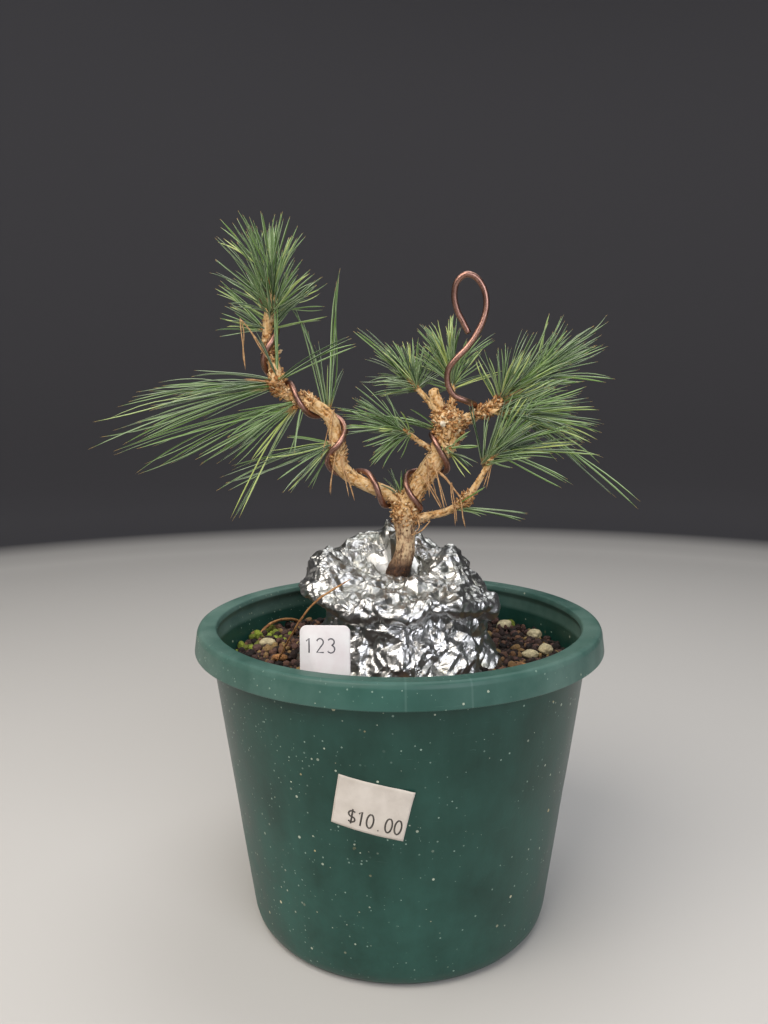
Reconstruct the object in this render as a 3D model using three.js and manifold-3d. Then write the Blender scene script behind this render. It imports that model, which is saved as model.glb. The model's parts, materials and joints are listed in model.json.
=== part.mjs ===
// A wired pine bonsai in a squat nursery pot. Millimetres, +Z up, front towards -Y.
// The pot stands on z = 0 with its axis on Z, the ground frame starts at the soil's surface, and the tree
// frame starts where the trunk leaves the mound.
import * as THREE from "three";
import { mergeVertices } from "three/addons/utils/BufferGeometryUtils.js";
import Module from "manifold-3d";

const wasm = await Module();
wasm.setup();

// ---- Driving dimensions ----
const gap = 0.3; // between two pieces that touch

const potHeight = 151;
const potRimRadius = 100;
const potBaseRadius = 74.9;
const potWall = 2;
const rimStep = 4.2; // the rim band stands out from the wall by this
const rimBandHeight = 11.3;
const rimFlare = 2.3;
const lipWidth = 9;
const baseCorner = 5;
const drainageHoles = 8;
const drainageRadius = 4.5;
const drainageFromEdge = 18;
const potSectors = 48;

const soilBelowRim = 21;
const soilRoughness = 2.4;

const labelWidth = 32;
const labelHeight = 24;
const labelCentreBelowRim = 59;
const labelBearing = THREE.MathUtils.degToRad(-8.5); // from the front, towards +X
const labelTilt = THREE.MathUtils.degToRad(-12);
const labelThickness = 0.3;

const tagWidth = 22;
const tagAboveSoil = 34;
const tagInSoil = 45;
const tagThickness = 0.8;
const tagCorner = 3;
const tagBearing = THREE.MathUtils.degToRad(-26.5);
const tagFromWall = 16.5; // from the edge of the soil to the tag's middle
const tagTurn = THREE.MathUtils.degToRad(-3);
const tagLean = THREE.MathUtils.degToRad(-5);

const foilThickness = 1.2;
const foilCrumple = 1.6;
const foilSectors = 40;
const skirtRadius = 52;
const skirtInSoil = 6;
const waistRadius = 38;
const waistHeight = 22;
const collarRadius = 47.5;
const collarHeight = 32;
const frontCrest = 43;
const backCrest = 66;
const bowlRadius = 14;
const moundHeight = 38;

const treeHeight = 182; // from the mound to the highest needle
const drawnHeight = 182; // the height at which the branch lines below are written
const rootDepth = 20;
const limbSides = 8;
const limbStep = 8;

const wireRadius = 1.5;
const wireSides = 8;
const wireStep = 4;

const needleRadius = 0.75;
const needleSteps = 2;
const shootRadius = 1.8;
const shootLength = 9;

// ---- Derived levels ----
const soilLevel = potHeight - soilBelowRim;
const soilRadius = wallRadius(soilLevel) - potWall - 2 * gap;
const treeScale = treeHeight / drawnHeight;
const FRONT = new THREE.Vector3(0, -1, 0);
const SIDE = new THREE.Vector3(1, 0, 0);

// ---- Materials ----
const looks = {
  pot: { color: 0x21453f, roughness: 0.45, metalness: 0 },
  paper: { color: 0xe4ddd2, roughness: 0.8, metalness: 0 },
  tag: { color: 0xd9d3cf, roughness: 0.5, metalness: 0 },
  soil: { color: 0x2f221b, roughness: 0.95, metalness: 0 },
  moss: { color: 0x39341c, roughness: 0.95, metalness: 0 },
  foil: { color: 0xc4c4c2, roughness: 0.3, metalness: 1 },
  bark: { color: 0xa37a4c, roughness: 0.85, metalness: 0 },
  wire: { color: 0x5b3329, roughness: 0.4, metalness: 0.8 },
  needle: { color: 0x47703a, roughness: 0.5, metalness: 0 },
  stone: { color: 0xa99c74, roughness: 0.9, metalness: 0 },
  straw: { color: 0x94663a, roughness: 0.85, metalness: 0 },
};

// ---- Shape helpers ----

// A closed geometry as a solid that can be joined and cut.
function solidOf(geometry) {
  const bare = geometry.clone();
  bare.deleteAttribute("normal");
  bare.deleteAttribute("uv");
  const merged = mergeVertices(bare);
  return new wasm.Manifold(new wasm.Mesh({
    numProp: 3,
    vertProperties: merged.attributes.position.array,
    triVerts: new Uint32Array(merged.index.array),
  }));
}

// A solid as geometry, with only its largest shell, because needles that cross can enclose a tiny void.
function geometryOf(solid) {
  const mesh = solid.getMesh();
  const leader = Array.from({ length: mesh.numVert }, (_, vertex) => vertex);
  const shellOf = (vertex) => (leader[vertex] === vertex ? vertex : shellOf(leader[vertex]));
  const faces = [];
  for (let i = 0; i < mesh.triVerts.length; i += 3) {
    const [first, ...others] = mesh.triVerts.slice(i, i + 3);
    for (const other of others) leader[shellOf(other)] = shellOf(first);
    faces.push([first, ...others]);
  }
  const shells = Object.values(Object.groupBy(faces, ([vertex]) => shellOf(vertex)));
  const largest = shells.reduce((one, other) => (other.length > one.length ? other : one));
  const geometry = new THREE.BufferGeometry();
  geometry.setAttribute("position", new THREE.BufferAttribute(mesh.vertProperties, 3));
  geometry.setIndex(largest.flat());
  geometry.computeVertexNormals();
  return geometry;
}

function join(solids) {
  return solids.reduce((whole, solid) => whole.add(solid));
}

function cut(solid, cutters) {
  return cutters.reduce((whole, cutter) => whole.subtract(cutter), solid);
}

// A body turned about Z from a profile that may differ in each sector. A profile goes up the outside.
// Sector 0 faces the front, and sectors run towards +X.
function turned(profileAt, sectors) {
  const geometry = new THREE.LatheGeometry(profileAt(0), sectors);
  const place = geometry.attributes.position;
  const perSector = place.count / (sectors + 1);
  for (let i = 0; i < place.count; i += 1) {
    const sector = Math.floor(i / perSector) % sectors;
    const bearing = (sector / sectors) * 2 * Math.PI;
    const point = profileAt(sector)[i % perSector];
    place.setXYZ(i, point.x * Math.sin(bearing), point.y, point.x * Math.cos(bearing));
  }
  return geometry.rotateX(Math.PI / 2);
}

// Bends a geometry that stands along Y from -0.5 to 0.5 onto a line, with its X and Z scaled to a radius.
function bend(geometry, line, radiusAt, facing = FRONT) {
  const place = geometry.attributes.position;
  const at = new THREE.Vector3();
  for (let i = 0; i < place.count; i += 1) {
    at.fromBufferAttribute(place, i);
    const along = THREE.MathUtils.clamp(at.y + 0.5, 0, 1);
    const ahead = line.getTangentAt(along);
    const outward = facing.clone().addScaledVector(ahead, -facing.dot(ahead)).normalize();
    const sideways = ahead.clone().cross(outward);
    const radius = radiusAt(along);
    const spot = line.getPointAt(along);
    spot.addScaledVector(sideways, at.x * radius).addScaledVector(outward, at.z * radius);
    place.setXYZ(i, spot.x, spot.y, spot.z);
  }
  return geometry;
}

function rod(line, radiusAt, sides, steps, facing) {
  return bend(new THREE.CylinderGeometry(1, 1, 1, sides, steps), line, radiusAt, facing);
}

// Capsules that hold a rod of the same steps, used to keep other pieces clear of it.
function capsulesOf(line, radiusAt, steps) {
  const spots = line.getSpacedPoints(steps);
  return spots.slice(1).map((end, i) => ({
    core: new THREE.Line3(spots[i], end),
    radius: Math.max(radiusAt(i / steps), radiusAt((i + 1) / steps)),
  }));
}

function roomBetween(one, other) {
  return Math.sqrt(one.core.distanceSqToLine3(other.core)) - one.radius - other.radius;
}

function isClear(capsules, obstacles) {
  return capsules.every((one) => obstacles.every((other) => roomBetween(one, other) >= gap));
}

// ---- Pot ----

function wallRadius(height) {
  return THREE.MathUtils.lerp(potBaseRadius, potRimRadius - rimStep, height / potHeight);
}

function potProfile() {
  const bandFoot = potHeight - rimBandHeight;
  const lipEdge = potRimRadius - lipWidth;
  const underLip = potHeight - potWall;
  const profile = [new THREE.Vector2(0, 0)];
  for (let step = 0; step <= 3; step += 1) {
    const turn = (step / 3) * (Math.PI / 2);
    const radius = wallRadius(baseCorner) - baseCorner * (1 - Math.sin(turn));
    profile.push(new THREE.Vector2(radius, baseCorner * (1 - Math.cos(turn))));
  }
  profile.push(
    new THREE.Vector2(wallRadius(underLip), underLip),
    new THREE.Vector2(potRimRadius - potWall, underLip),
    new THREE.Vector2(potRimRadius + rimFlare - potWall, bandFoot),
    new THREE.Vector2(potRimRadius + rimFlare, bandFoot),
    new THREE.Vector2(potRimRadius, potHeight - 1),
    new THREE.Vector2(potRimRadius - 1, potHeight),
    new THREE.Vector2(lipEdge + 1, potHeight),
    new THREE.Vector2(lipEdge, potHeight - 1),
    new THREE.Vector2(lipEdge, underLip - 1),
    new THREE.Vector2(wallRadius(underLip - 4) - potWall, underLip - 4),
    new THREE.Vector2(wallRadius(potWall) - potWall, potWall),
    new THREE.Vector2(0, potWall),
  );
  return profile;
}

function nurseryPot() {
  const profile = potProfile();
  const holes = [];
  for (let i = 0; i < drainageHoles; i += 1) {
    const hole = new THREE.CylinderGeometry(drainageRadius, drainageRadius, 2 * potWall, 16);
    hole.rotateX(Math.PI / 2);
    hole.translate(0, potBaseRadius - drainageFromEdge, potWall / 2);
    hole.rotateZ(((i + 0.5) / drainageHoles) * 2 * Math.PI);
    holes.push(solidOf(hole));
  }
  return cut(solidOf(turned(() => profile, potSectors)), holes);
}

// A thin paper patch laid on the cone of the pot's wall.
function priceLabel() {
  const label = new THREE.BoxGeometry(labelWidth, labelHeight, labelThickness, 8, 2, 1);
  const place = label.attributes.position;
  const centre = potHeight - labelCentreBelowRim;
  const at = new THREE.Vector3();
  for (let i = 0; i < place.count; i += 1) {
    at.fromBufferAttribute(place, i);
    const along = at.x * Math.cos(labelTilt) - at.y * Math.sin(labelTilt);
    const height = centre + at.x * Math.sin(labelTilt) + at.y * Math.cos(labelTilt);
    const bearing = labelBearing + along / wallRadius(centre);
    const radius = wallRadius(height) + gap + labelThickness / 2 + at.z;
    place.setXYZ(i, radius * Math.sin(bearing), -radius * Math.cos(bearing), height);
  }
  return solidOf(label);
}

// ---- Ground: potting mix, mound, foil, tag, stones and twigs, with z = 0 at the soil's surface ----

// The foil's outside in one sector, from its foot in the soil up over the collar to the bowl's edge,
// moved inwards by inset. Each corner is shifted at random, as crumpled foil is.
function foilRows(sector, inset) {
  const bearing = (sector / foilSectors) * 2 * Math.PI;
  const towardsBack = (1 - Math.cos(bearing)) / 2;
  const sideLobe = Math.sin(bearing) ** 2;
  const crest = THREE.MathUtils.lerp(frontCrest, backCrest, towardsBack ** 1.3) - 3 * sideLobe;
  const crestRadius = THREE.MathUtils.lerp(25, 22, towardsBack) + 9 * sideLobe;
  const rows = [
    [skirtRadius, -skirtInSoil],
    [THREE.MathUtils.lerp(skirtRadius, waistRadius, 0.45), waistHeight * 0.45],
    [waistRadius, waistHeight],
    [collarRadius, collarHeight],
    [THREE.MathUtils.lerp(collarRadius, crestRadius, 0.45), THREE.MathUtils.lerp(collarHeight, crest, 0.75)],
    [crestRadius, crest],
    [bowlRadius, moundHeight + foilThickness + gap],
  ];
  const crumpled = rows.map(([radius, height], row) => {
    const shift = THREE.MathUtils.seededRandom(1 + sector * 31 + row * 977) * 2 - 1;
    const lift = THREE.MathUtils.seededRandom(5 + sector * 57 + row * 331) * 2 - 1;
    const rough = row > 0 && row < rows.length - 1 ? foilCrumple : 0;
    return new THREE.Vector2(radius + rough * shift, height + rough * lift);
  });
  return crumpled.map((point, row) => {
    const before = crumpled[Math.max(row - 1, 0)];
    const after = crumpled[Math.min(row + 1, crumpled.length - 1)];
    const run = after.clone().sub(before).normalize();
    const rise = row > 0 ? run.x * inset : 0;
    return new THREE.Vector2(point.x - run.y * inset, point.y + rise);
  });
}

// The foil as a closed sheet between two insets.
function foilSheet(outside, inside) {
  const sheet = (sector) => [
    ...foilRows(sector, outside),
    ...foilRows(sector, inside).reverse(),
    foilRows(sector, outside)[0],
  ];
  return solidOf(turned(sheet, foilSectors));
}

// What the foil's skirt holds up to its waist, moved inwards by inset and closed by a dome.
function skirtFill(inset, domeHeight) {
  const floor = -skirtInSoil + Math.min(inset, 0);
  const fill = (sector) => {
    const [foot, middle, waist] = foilRows(sector, inset);
    const flare = (foot.x - middle.x) / (middle.y - foot.y);
    return [
      new THREE.Vector2(0, floor),
      new THREE.Vector2(foot.x + flare * (foot.y - floor), floor),
      middle,
      waist,
      new THREE.Vector2(waist.x * 0.75, THREE.MathUtils.lerp(waist.y, domeHeight, 0.6)),
      new THREE.Vector2(bowlRadius, domeHeight),
      new THREE.Vector2(0, domeHeight),
    ];
  };
  return solidOf(turned(fill, foilSectors));
}

// Height of the soil's surface, which rises and falls in small lumps.
function soilLump(sector, row) {
  return (THREE.MathUtils.seededRandom(3 + sector * 17 + row * 613) - 0.5) * soilRoughness;
}

function soilFill() {
  const sectors = 36;
  const floor = potWall + gap - soilLevel;
  const radiusAt = (height) => wallRadius(soilLevel + height) - potWall - 2 * gap;
  const fill = (sector) => {
    const edge = soilLump(sector, 0);
    const surface = [0.92, 0.8, 0.68, 0.56].map(
      (share, row) => new THREE.Vector2(radiusAt(0) * share, soilLump(sector, row + 1)),
    );
    return [
      new THREE.Vector2(0, floor),
      new THREE.Vector2(radiusAt(floor), floor),
      new THREE.Vector2(radiusAt(edge), edge),
      ...surface,
      new THREE.Vector2(0, 0),
    ];
  };
  return solidOf(turned(fill, sectors));
}

// A flat plastic strip with rounded top corners and a pointed foot, larger by margin all round.
function plantTag(margin) {
  const half = tagWidth / 2 + margin;
  const top = tagAboveSoil + margin;
  const shape = new THREE.Shape();
  shape.moveTo(0, -tagInSoil - margin);
  shape.lineTo(half, -tagInSoil + tagWidth / 2);
  shape.lineTo(half, top - tagCorner);
  shape.absarc(half - tagCorner, top - tagCorner, tagCorner, 0, Math.PI / 2);
  shape.absarc(-half + tagCorner, top - tagCorner, tagCorner, Math.PI / 2, Math.PI);
  shape.lineTo(-half, -tagInSoil + tagWidth / 2);
  const depth = tagThickness + 2 * margin;
  const strip = new THREE.ExtrudeGeometry(shape, { depth, bevelEnabled: false, curveSegments: 4 });
  strip.translate(0, 0, -depth / 2);
  strip.rotateX(Math.PI / 2 + tagLean).rotateZ(tagTurn);
  return solidOf(strip.translate(...groundPoint(tagBearing, soilRadius - tagFromWall, 0)));
}

// A point over the ground: its bearing from the front, its distance from the pot's axis and its height.
function groundPoint(bearing, radius, height) {
  return [radius * Math.sin(bearing), -radius * Math.cos(bearing), height];
}

// A spot on the ground: its bearing from the front, its share of the way from the foil's skirt to the
// pot's wall, and its height over the soil.
function groundSpot(bearing, share, height) {
  return groundPoint(bearing, THREE.MathUtils.lerp(skirtRadius, soilRadius, share), height);
}

// Stones and bark lying half in the soil: bearing in degrees, share, half sizes and turn about Z.
const stoneSink = 1.5;
const stones = {
  pebble_1: { bearing: 87, share: 0.4, half: [4.5, 3, 2.5], turn: 0.3 },
  pebble_2: { bearing: 93, share: 0.65, half: [4, 4.5, 3], turn: 1.1 },
  pebble_3: { bearing: 113, share: 0.8, half: [4, 3.5, 3], turn: 0.6 },
  pebble_4: { bearing: 130, share: 0.75, half: [4.5, 4, 3], turn: 2 },
  pebble_5: { bearing: -106, share: 0.55, half: [4, 3, 2.5], turn: 0.4 },
  pebble_6: { bearing: -5, share: 0.6, half: [4, 3, 2.5], turn: 2.4 },
  bark_chip: { bearing: -84, share: 0.22, half: [6, 3.5, 1.8], turn: 1.2 },
};

function stone({ bearing, share, half, turn }, margin) {
  const lump = new THREE.IcosahedronGeometry(1, 1);
  lump.scale(...half.map((size) => size + margin));
  lump.rotateZ(turn).translate(...groundSpot(THREE.MathUtils.degToRad(bearing), share, stoneSink));
  return solidOf(lump);
}

// Dry twigs and needles that fell on the soil or lean on the foil's collar: bearing in degrees, share and
// height of each point of their lines.
const litterRadius = 0.8;
const collarShare = (collarRadius + 2 * foilCrumple - skirtRadius) / (soilRadius - skirtRadius);
const litter = {
  fallen_twig_left: [[-115, 0.93, -1], [-124, 0.9, 7], [-134, 0.92, 6], [-141, 0.93, -1]],
  fallen_twig_right: [[76, 0.2, 0.5], [70, 0.45, 1.5], [66, 0.7, 0.5]],
  leaning_needle: [
    [-75, 0.36, -2], [-66, 0.28, collarHeight * 0.5], [-52, collarShare + 0.12, collarHeight],
    [-40, collarShare, collarHeight + 4],
  ],
};

function litterRod(points, margin) {
  const spots = points.map(
    ([bearing, share, height]) => groundSpot(THREE.MathUtils.degToRad(bearing), share, height),
  );
  return solidOf(rod(lineOf(spots), () => litterRadius + margin, 6, 8));
}

function pottingMix() {
  const holes = [skirtFill(-gap, moundHeight), plantTag(gap)];
  holes.push(...Object.values(stones).map((spec) => stone(spec, gap)));
  holes.push(...Object.values(litter).map((spec) => litterRod(spec, gap)));
  return cut(soilFill(), holes);
}

// The root mound, hollowed where the trunk's foot stands in it.
function rootMound() {
  const foot = limbRoom(limbs.trunk, moundHeight);
  const sheet = foilSheet(-3 * foilCrumple, foilThickness + gap);
  return cut(skirtFill(foilThickness + gap, moundHeight), [foot, sheet]);
}

// ---- Tree, with z = 0 at the mound ----

// Each limb's middle line and its radius at the start and the end.
const limbs = {
  trunk: {
    radii: [7, 4.8],
    points: [[-4, 1, -rootDepth], [-2.5, 0, 0], [3, 0, 12.5], [4, 0, 23], [3.4, 0, 34], [3.4, 0, 41]],
  },
  left_branch: {
    radii: [3.7, 2.1],
    points: [
      [4, 0, 37], [-1, 0, 43.5], [-8, -1, 47.5], [-16.5, -2, 51.2], [-24.5, -3, 56], [-29.5, -3, 63],
      [-30, -3, 73], [-33, -3, 84], [-41, -3, 90.5], [-51, -2, 94], [-58.5, -1, 99.5], [-60, 0, 108],
      [-62.5, 1, 117], [-63.5, 1, 126], [-62, 1, 135], [-61, 1, 147],
    ],
  },
  leader: {
    radii: [4.8, 5.8],
    points: [
      [3.4, 0, 36], [7.6, 0, 47], [12.6, 0, 53.5], [17, -1, 60], [21, -1, 66.5], [24.8, -1, 74],
      [24.5, -1, 87],
    ],
  },
  cut_stub: { radii: [3, 2.4], points: [[23, -1, 82], [19.5, -2, 91], [17.5, -2, 98]] },
  upper_branch: {
    radii: [2.6, 1.3],
    points: [[25, -1, 79], [34, 0, 82.6], [43.6, 2, 87], [52, 4, 91.6], [60.5, 6, 95.7], [66, 8, 101]],
  },
  side_twig: { radii: [1.6, 1.1], points: [[42, 2, 86], [50, -3, 86.5], [57, -7, 85]] },
  lower_branch: {
    radii: [2.1, 1.2],
    points: [[4, 0, 31.5], [12, -2, 34], [25, -6, 38], [33, -9, 43.5], [40.5, -12, 55.5], [46, -14, 66]],
  },
  left_twig: { radii: [1.3, 1], points: [[19, -1, 66], [11, -6, 72], [4, -9, 77]] },
  back_twig: { radii: [1.8, 1.2], points: [[23, 0, 83], [15, 9, 93], [9, 14, 100]] },
  top_twig: { radii: [1.8, 1.2], points: [[25, 1, 82], [28, 9, 93], [28, 13, 103]] },
};

function lineOf(points) {
  return new THREE.CatmullRomCurve3(points.map((point) => new THREE.Vector3(...point)));
}

function scaled(point) {
  return [point[0] * treeScale, point[1] * treeScale, point[2] * treeScale];
}

// Above the mound the limbs follow the tree's size, and the trunk's foot keeps its depth.
function limbLine({ points }) {
  return lineOf(points.map((point) => (point[2] < 0 ? point : scaled(point))));
}

function limbSteps(line) {
  return Math.ceil(line.getLength() / limbStep);
}

function limbRadius({ radii }, margin = 0) {
  return (along) => THREE.MathUtils.lerp(radii[0], radii[1], along) + margin;
}

function limbSolid(limb) {
  const line = limbLine(limb);
  return solidOf(rod(line, limbRadius(limb), limbSides, limbSteps(line)));
}

// The room that a limb takes with a gap all round and beyond both of its ends, lifted by a height.
function limbRoom(limb, lift = 0) {
  const line = limbLine(limb);
  const radiusAt = limbRadius(limb, gap);
  const ends = [0, 1].map((along) => {
    const end = line.getPointAt(along);
    const ahead = line.getTangentAt(along);
    const past = new THREE.LineCurve3(
      end.clone().addScaledVector(ahead, -gap), end.clone().addScaledVector(ahead, gap),
    );
    return rod(past, () => radiusAt(along), limbSides, 1);
  });
  const body = rod(line, radiusAt, limbSides, limbSteps(line));
  return join([body, ...ends].map((geometry) => solidOf(geometry.translate(0, 0, lift))));
}

// A point at a set distance from a limb's middle line; turn 0 is the front and a quarter turn is its left
// or upper side, seen from the front with the limb running to the left.
function beside(line, along, distance, turn) {
  const ahead = line.getTangentAt(along);
  const outward = FRONT.clone().addScaledVector(ahead, -FRONT.dot(ahead)).normalize();
  const sideways = ahead.clone().cross(outward);
  return line.getPointAt(along)
    .addScaledVector(outward, distance * Math.cos(turn))
    .addScaledVector(sideways, distance * Math.sin(turn));
}

// The wire's coil round a limb: from and to are distances along it, and frontAt is one where the wire
// passes in front. The hand is 1 or -1.
function coil(limb, { from, to, pitch, frontAt, hand }) {
  const line = limbLine(limb);
  const length = line.getLength();
  const steps = Math.ceil(Math.abs(to - from) / (pitch / 9));
  const spots = [];
  for (let step = 0; step <= steps; step += 1) {
    const distance = THREE.MathUtils.lerp(from, to, step / steps) * treeScale;
    const along = Math.min(distance / length, 1);
    const turn = (hand * 2 * Math.PI * (distance / treeScale - frontAt)) / pitch;
    const radius = limbRadius(limb)(along) + wireRadius + gap;
    spots.push(beside(line, along, radius, turn));
  }
  return spots;
}

const leftCoil = { from: 142, to: 6, pitch: 32, frontAt: 19, hand: 1 };
const leaderCoil = { from: 5, to: 50, pitch: 26, frontAt: 36, hand: -1 };
const behindFork = [[-1, 8, 35], [5, 9, 35]];
const freeEnd = [
  [29, 9, 80], [35.5, 8, 84], [39, 2, 88], [34, -5, 91.5], [27.5, -7, 94.5], [24.4, -8, 100], [24.6, -9, 107],
  [28.3, -10, 112], [33, -10, 116.7], [37.6, -10, 123], [41, -10, 130], [42.4, -10, 137], [41.2, -10, 144],
  [37.4, -10, 149.5], [32.8, -10, 151], [28.6, -9, 148], [27.3, -8, 142], [28.7, -7, 135], [32, -6, 128.7],
  [34.5, -5.5, 124],
];

// One wire: down the left branch, behind the fork, up the leader and round the free loop. Spots that come
// too near a limb are pushed away from it.
function wireLine(limbCapsules) {
  const byHand = (points) => points.map((point) => new THREE.Vector3(...scaled(point)));
  const route = [
    ...coil(limbs.left_branch, leftCoil),
    ...byHand(behindFork),
    ...coil(limbs.leader, leaderCoil),
    ...byHand(freeEnd),
  ];
  const nearest = new THREE.Vector3();
  for (let round = 0; round < 12; round += 1) {
    for (const spot of route) {
      for (const { core, radius } of limbCapsules) {
        core.closestPointToPoint(spot, true, nearest);
        const short = radius + wireRadius + 2 * gap - spot.distanceTo(nearest);
        if (short > 0) spot.addScaledVector(spot.clone().sub(nearest).normalize(), short);
      }
    }
  }
  return new THREE.CatmullRomCurve3(route);
}

// ---- Needles ----

// Each tuft grows from a point on a limb along an axis. The needles to its tips are placed one by one, and
// count more are spread at random up to the spread angle, each of about the given reach.
const tufts = {
  apex_tuft: {
    from: [-61, 1, 147], axis: [0, 0, 1], reach: 36, spread: 1.75, count: 14,
    tips: [[-54, -4, 181.5], [-85.4, 4, 180]],
  },
  apex_left_tuft: { from: [-63.5, 1, 126], axis: [-1, -0.3, 0.5], reach: 33, spread: 1.1, count: 8 },
  apex_right_tuft: { from: [-62, 1, 134], axis: [1, -0.4, 0.6], reach: 33, spread: 1, count: 8 },
  knuckle_tuft: {
    from: [-59, -1, 101], axis: [0.2, -1, 0.6], reach: 30, spread: 0.9, count: 4,
    tips: [[-57, -8, 141], [-19.5, -12, 119], [-98, -14, 104]],
  },
  long_spray: {
    from: [-59, -1, 100], axis: [-1, 0, -0.1], reach: 60, spread: 0.6, count: 4,
    tips: [[-149.6, -4, 82.7], [-145, 12, 78], [-142.8, 14, 90], [-132.7, 6, 94.8], [-150, -18, 68.3]],
  },
  low_spray: {
    from: [-47, -2, 92], axis: [-0.6, -0.3, -0.8], reach: 45, spread: 0.7, count: 5,
    tips: [[-134, 10, 56], [-137, -12, 67], [-99.5, 4, 60.5], [-81.8, -12, 35.7], [-90.8, 18, 66]],
  },
  upright_needles: {
    from: [-34, -3, 85], axis: [0.2, 0.3, 1], reach: 34, spread: 0.7, count: 3,
    tips: [[-27.3, 0, 155.8], [-51.3, 8, 141], [-32, 6, 121.7]],
  },
  under_branch_tuft: {
    from: [-30, -3, 72], axis: [-0.9, -0.3, -0.5], reach: 34, spread: 0.8, count: 6,
    tips: [[-68.6, -8, 60], [-90, -4, 48.4], [-84.6, 10, 57.4]],
  },
  cross_needles: {
    from: [22, -1, 77], axis: [-1, -0.3, 0.2], reach: 28, spread: 0.5, count: 2,
    tips: [[-29.3, -8, 88.7]],
  },
  back_tuft: {
    from: [9, 14, 100], axis: [-0.5, 0.3, 0.8], reach: 26, spread: 1.5, count: 10,
    tips: [[-21.9, 18, 127.4], [-19.2, 22, 102], [3, 14, 122]],
  },
  top_tuft: {
    from: [28, 13, 103], axis: [0, 0.2, 1], reach: 27, spread: 1.5, count: 12,
    tips: [[14, 16, 129], [27.4, 14, 134.7], [49.4, 20, 123.6]],
  },
  right_end_tuft: {
    from: [66, 8, 101], axis: [0.8, 0, 0.6], reach: 36, spread: 1.3, count: 12,
    tips: [[75.5, 6, 134.4], [105.7, 12, 134.2], [104, 2, 118], [108.7, 4, 102]],
  },
  right_middle_tuft: { from: [51, 4, 91], axis: [0.3, -0.4, 1], reach: 30, spread: 1.1, count: 8 },
  right_low_spray: {
    from: [57, -7, 85], axis: [1, -0.2, -0.3], reach: 34, spread: 1, count: 8,
    tips: [[97.3, -10, 87], [95.7, 0, 72], [117.7, -12, 38.4], [102.5, 6, 60]],
  },
  lower_end_tuft: {
    from: [46, -14, 66], axis: [0.5, -0.2, 0.8], reach: 32, spread: 1.3, count: 10,
    tips: [[81, -16, 52.3], [100, -10, 64]],
  },
  lower_needles: {
    from: [27, -6, 39], axis: [0.6, -0.8, 0.3], reach: 26, spread: 0.6, count: 2,
    tips: [[63, -14, 37]],
  },
  left_twig_tuft: {
    from: [4, -9, 77], axis: [-0.8, -0.4, 0.2], reach: 26, spread: 1.3, count: 8,
    tips: [[-23.3, -14, 87.7], [-13.7, -12, 60.4], [-20.2, -10, 99]],
  },
  fork_tuft: { from: [2, 0, 43], axis: [-0.2, -0.3, 1], reach: 15, spread: 1, count: 6 },
  front_tuft: { from: [22, -1, 68], axis: [0.8, -1, -0.1], reach: 24, spread: 1, count: 8 },
};

// A bent needle from a root to a tip that sags by a share of its length.
function needleLine(root, tip) {
  const sag = root.distanceTo(tip) * 0.05;
  const middle = root.clone().lerp(tip, 0.5);
  middle.z += sag;
  return new THREE.QuadraticBezierCurve3(root, middle, tip);
}

function needleSolid(line) {
  const reach = line.getPointAt(1).sub(line.getPointAt(0)).normalize();
  const facing = Math.abs(reach.y) < 0.7 ? FRONT : SIDE;
  return solidOf(bend(new THREE.ConeGeometry(1, 1, 3, needleSteps), line, () => needleRadius, facing));
}

function needleCapsules(line) {
  return capsulesOf(line, () => needleRadius, needleSteps);
}

// A shoot's line from inside its limb, turned away from its axis by as little as clears the obstacles.
function shootLine(from, axis, limbCapsules, obstacles) {
  const nearest = new THREE.Vector3();
  for (let tries = 0; tries < 200; tries += 1) {
    const aside = new THREE.Vector3().setFromSphericalCoords(0.02 * tries, 2.4 * tries, 1.3 * tries);
    const outward = axis.clone().add(aside).normalize();
    const foot = from.clone();
    const isInside = ({ core, radius }) =>
      core.closestPointToPoint(foot, true, nearest).distanceTo(foot) < radius;
    while (limbCapsules.some(isInside)) foot.addScaledVector(outward, gap);
    const line = new THREE.LineCurve3(
      foot.clone().addScaledVector(outward, -shootRadius), foot.clone().addScaledVector(outward, shootLength),
    );
    if (isClear(capsulesOf(line, () => shootRadius, 1), obstacles)) return line;
  }
  throw new Error("No room for a shoot");
}

function shootSolid(line) {
  return solidOf(rod(line, (along) => shootRadius * (0.6 + 0.4 * Math.sin(Math.PI * along)), 6, 2, SIDE));
}

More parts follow.
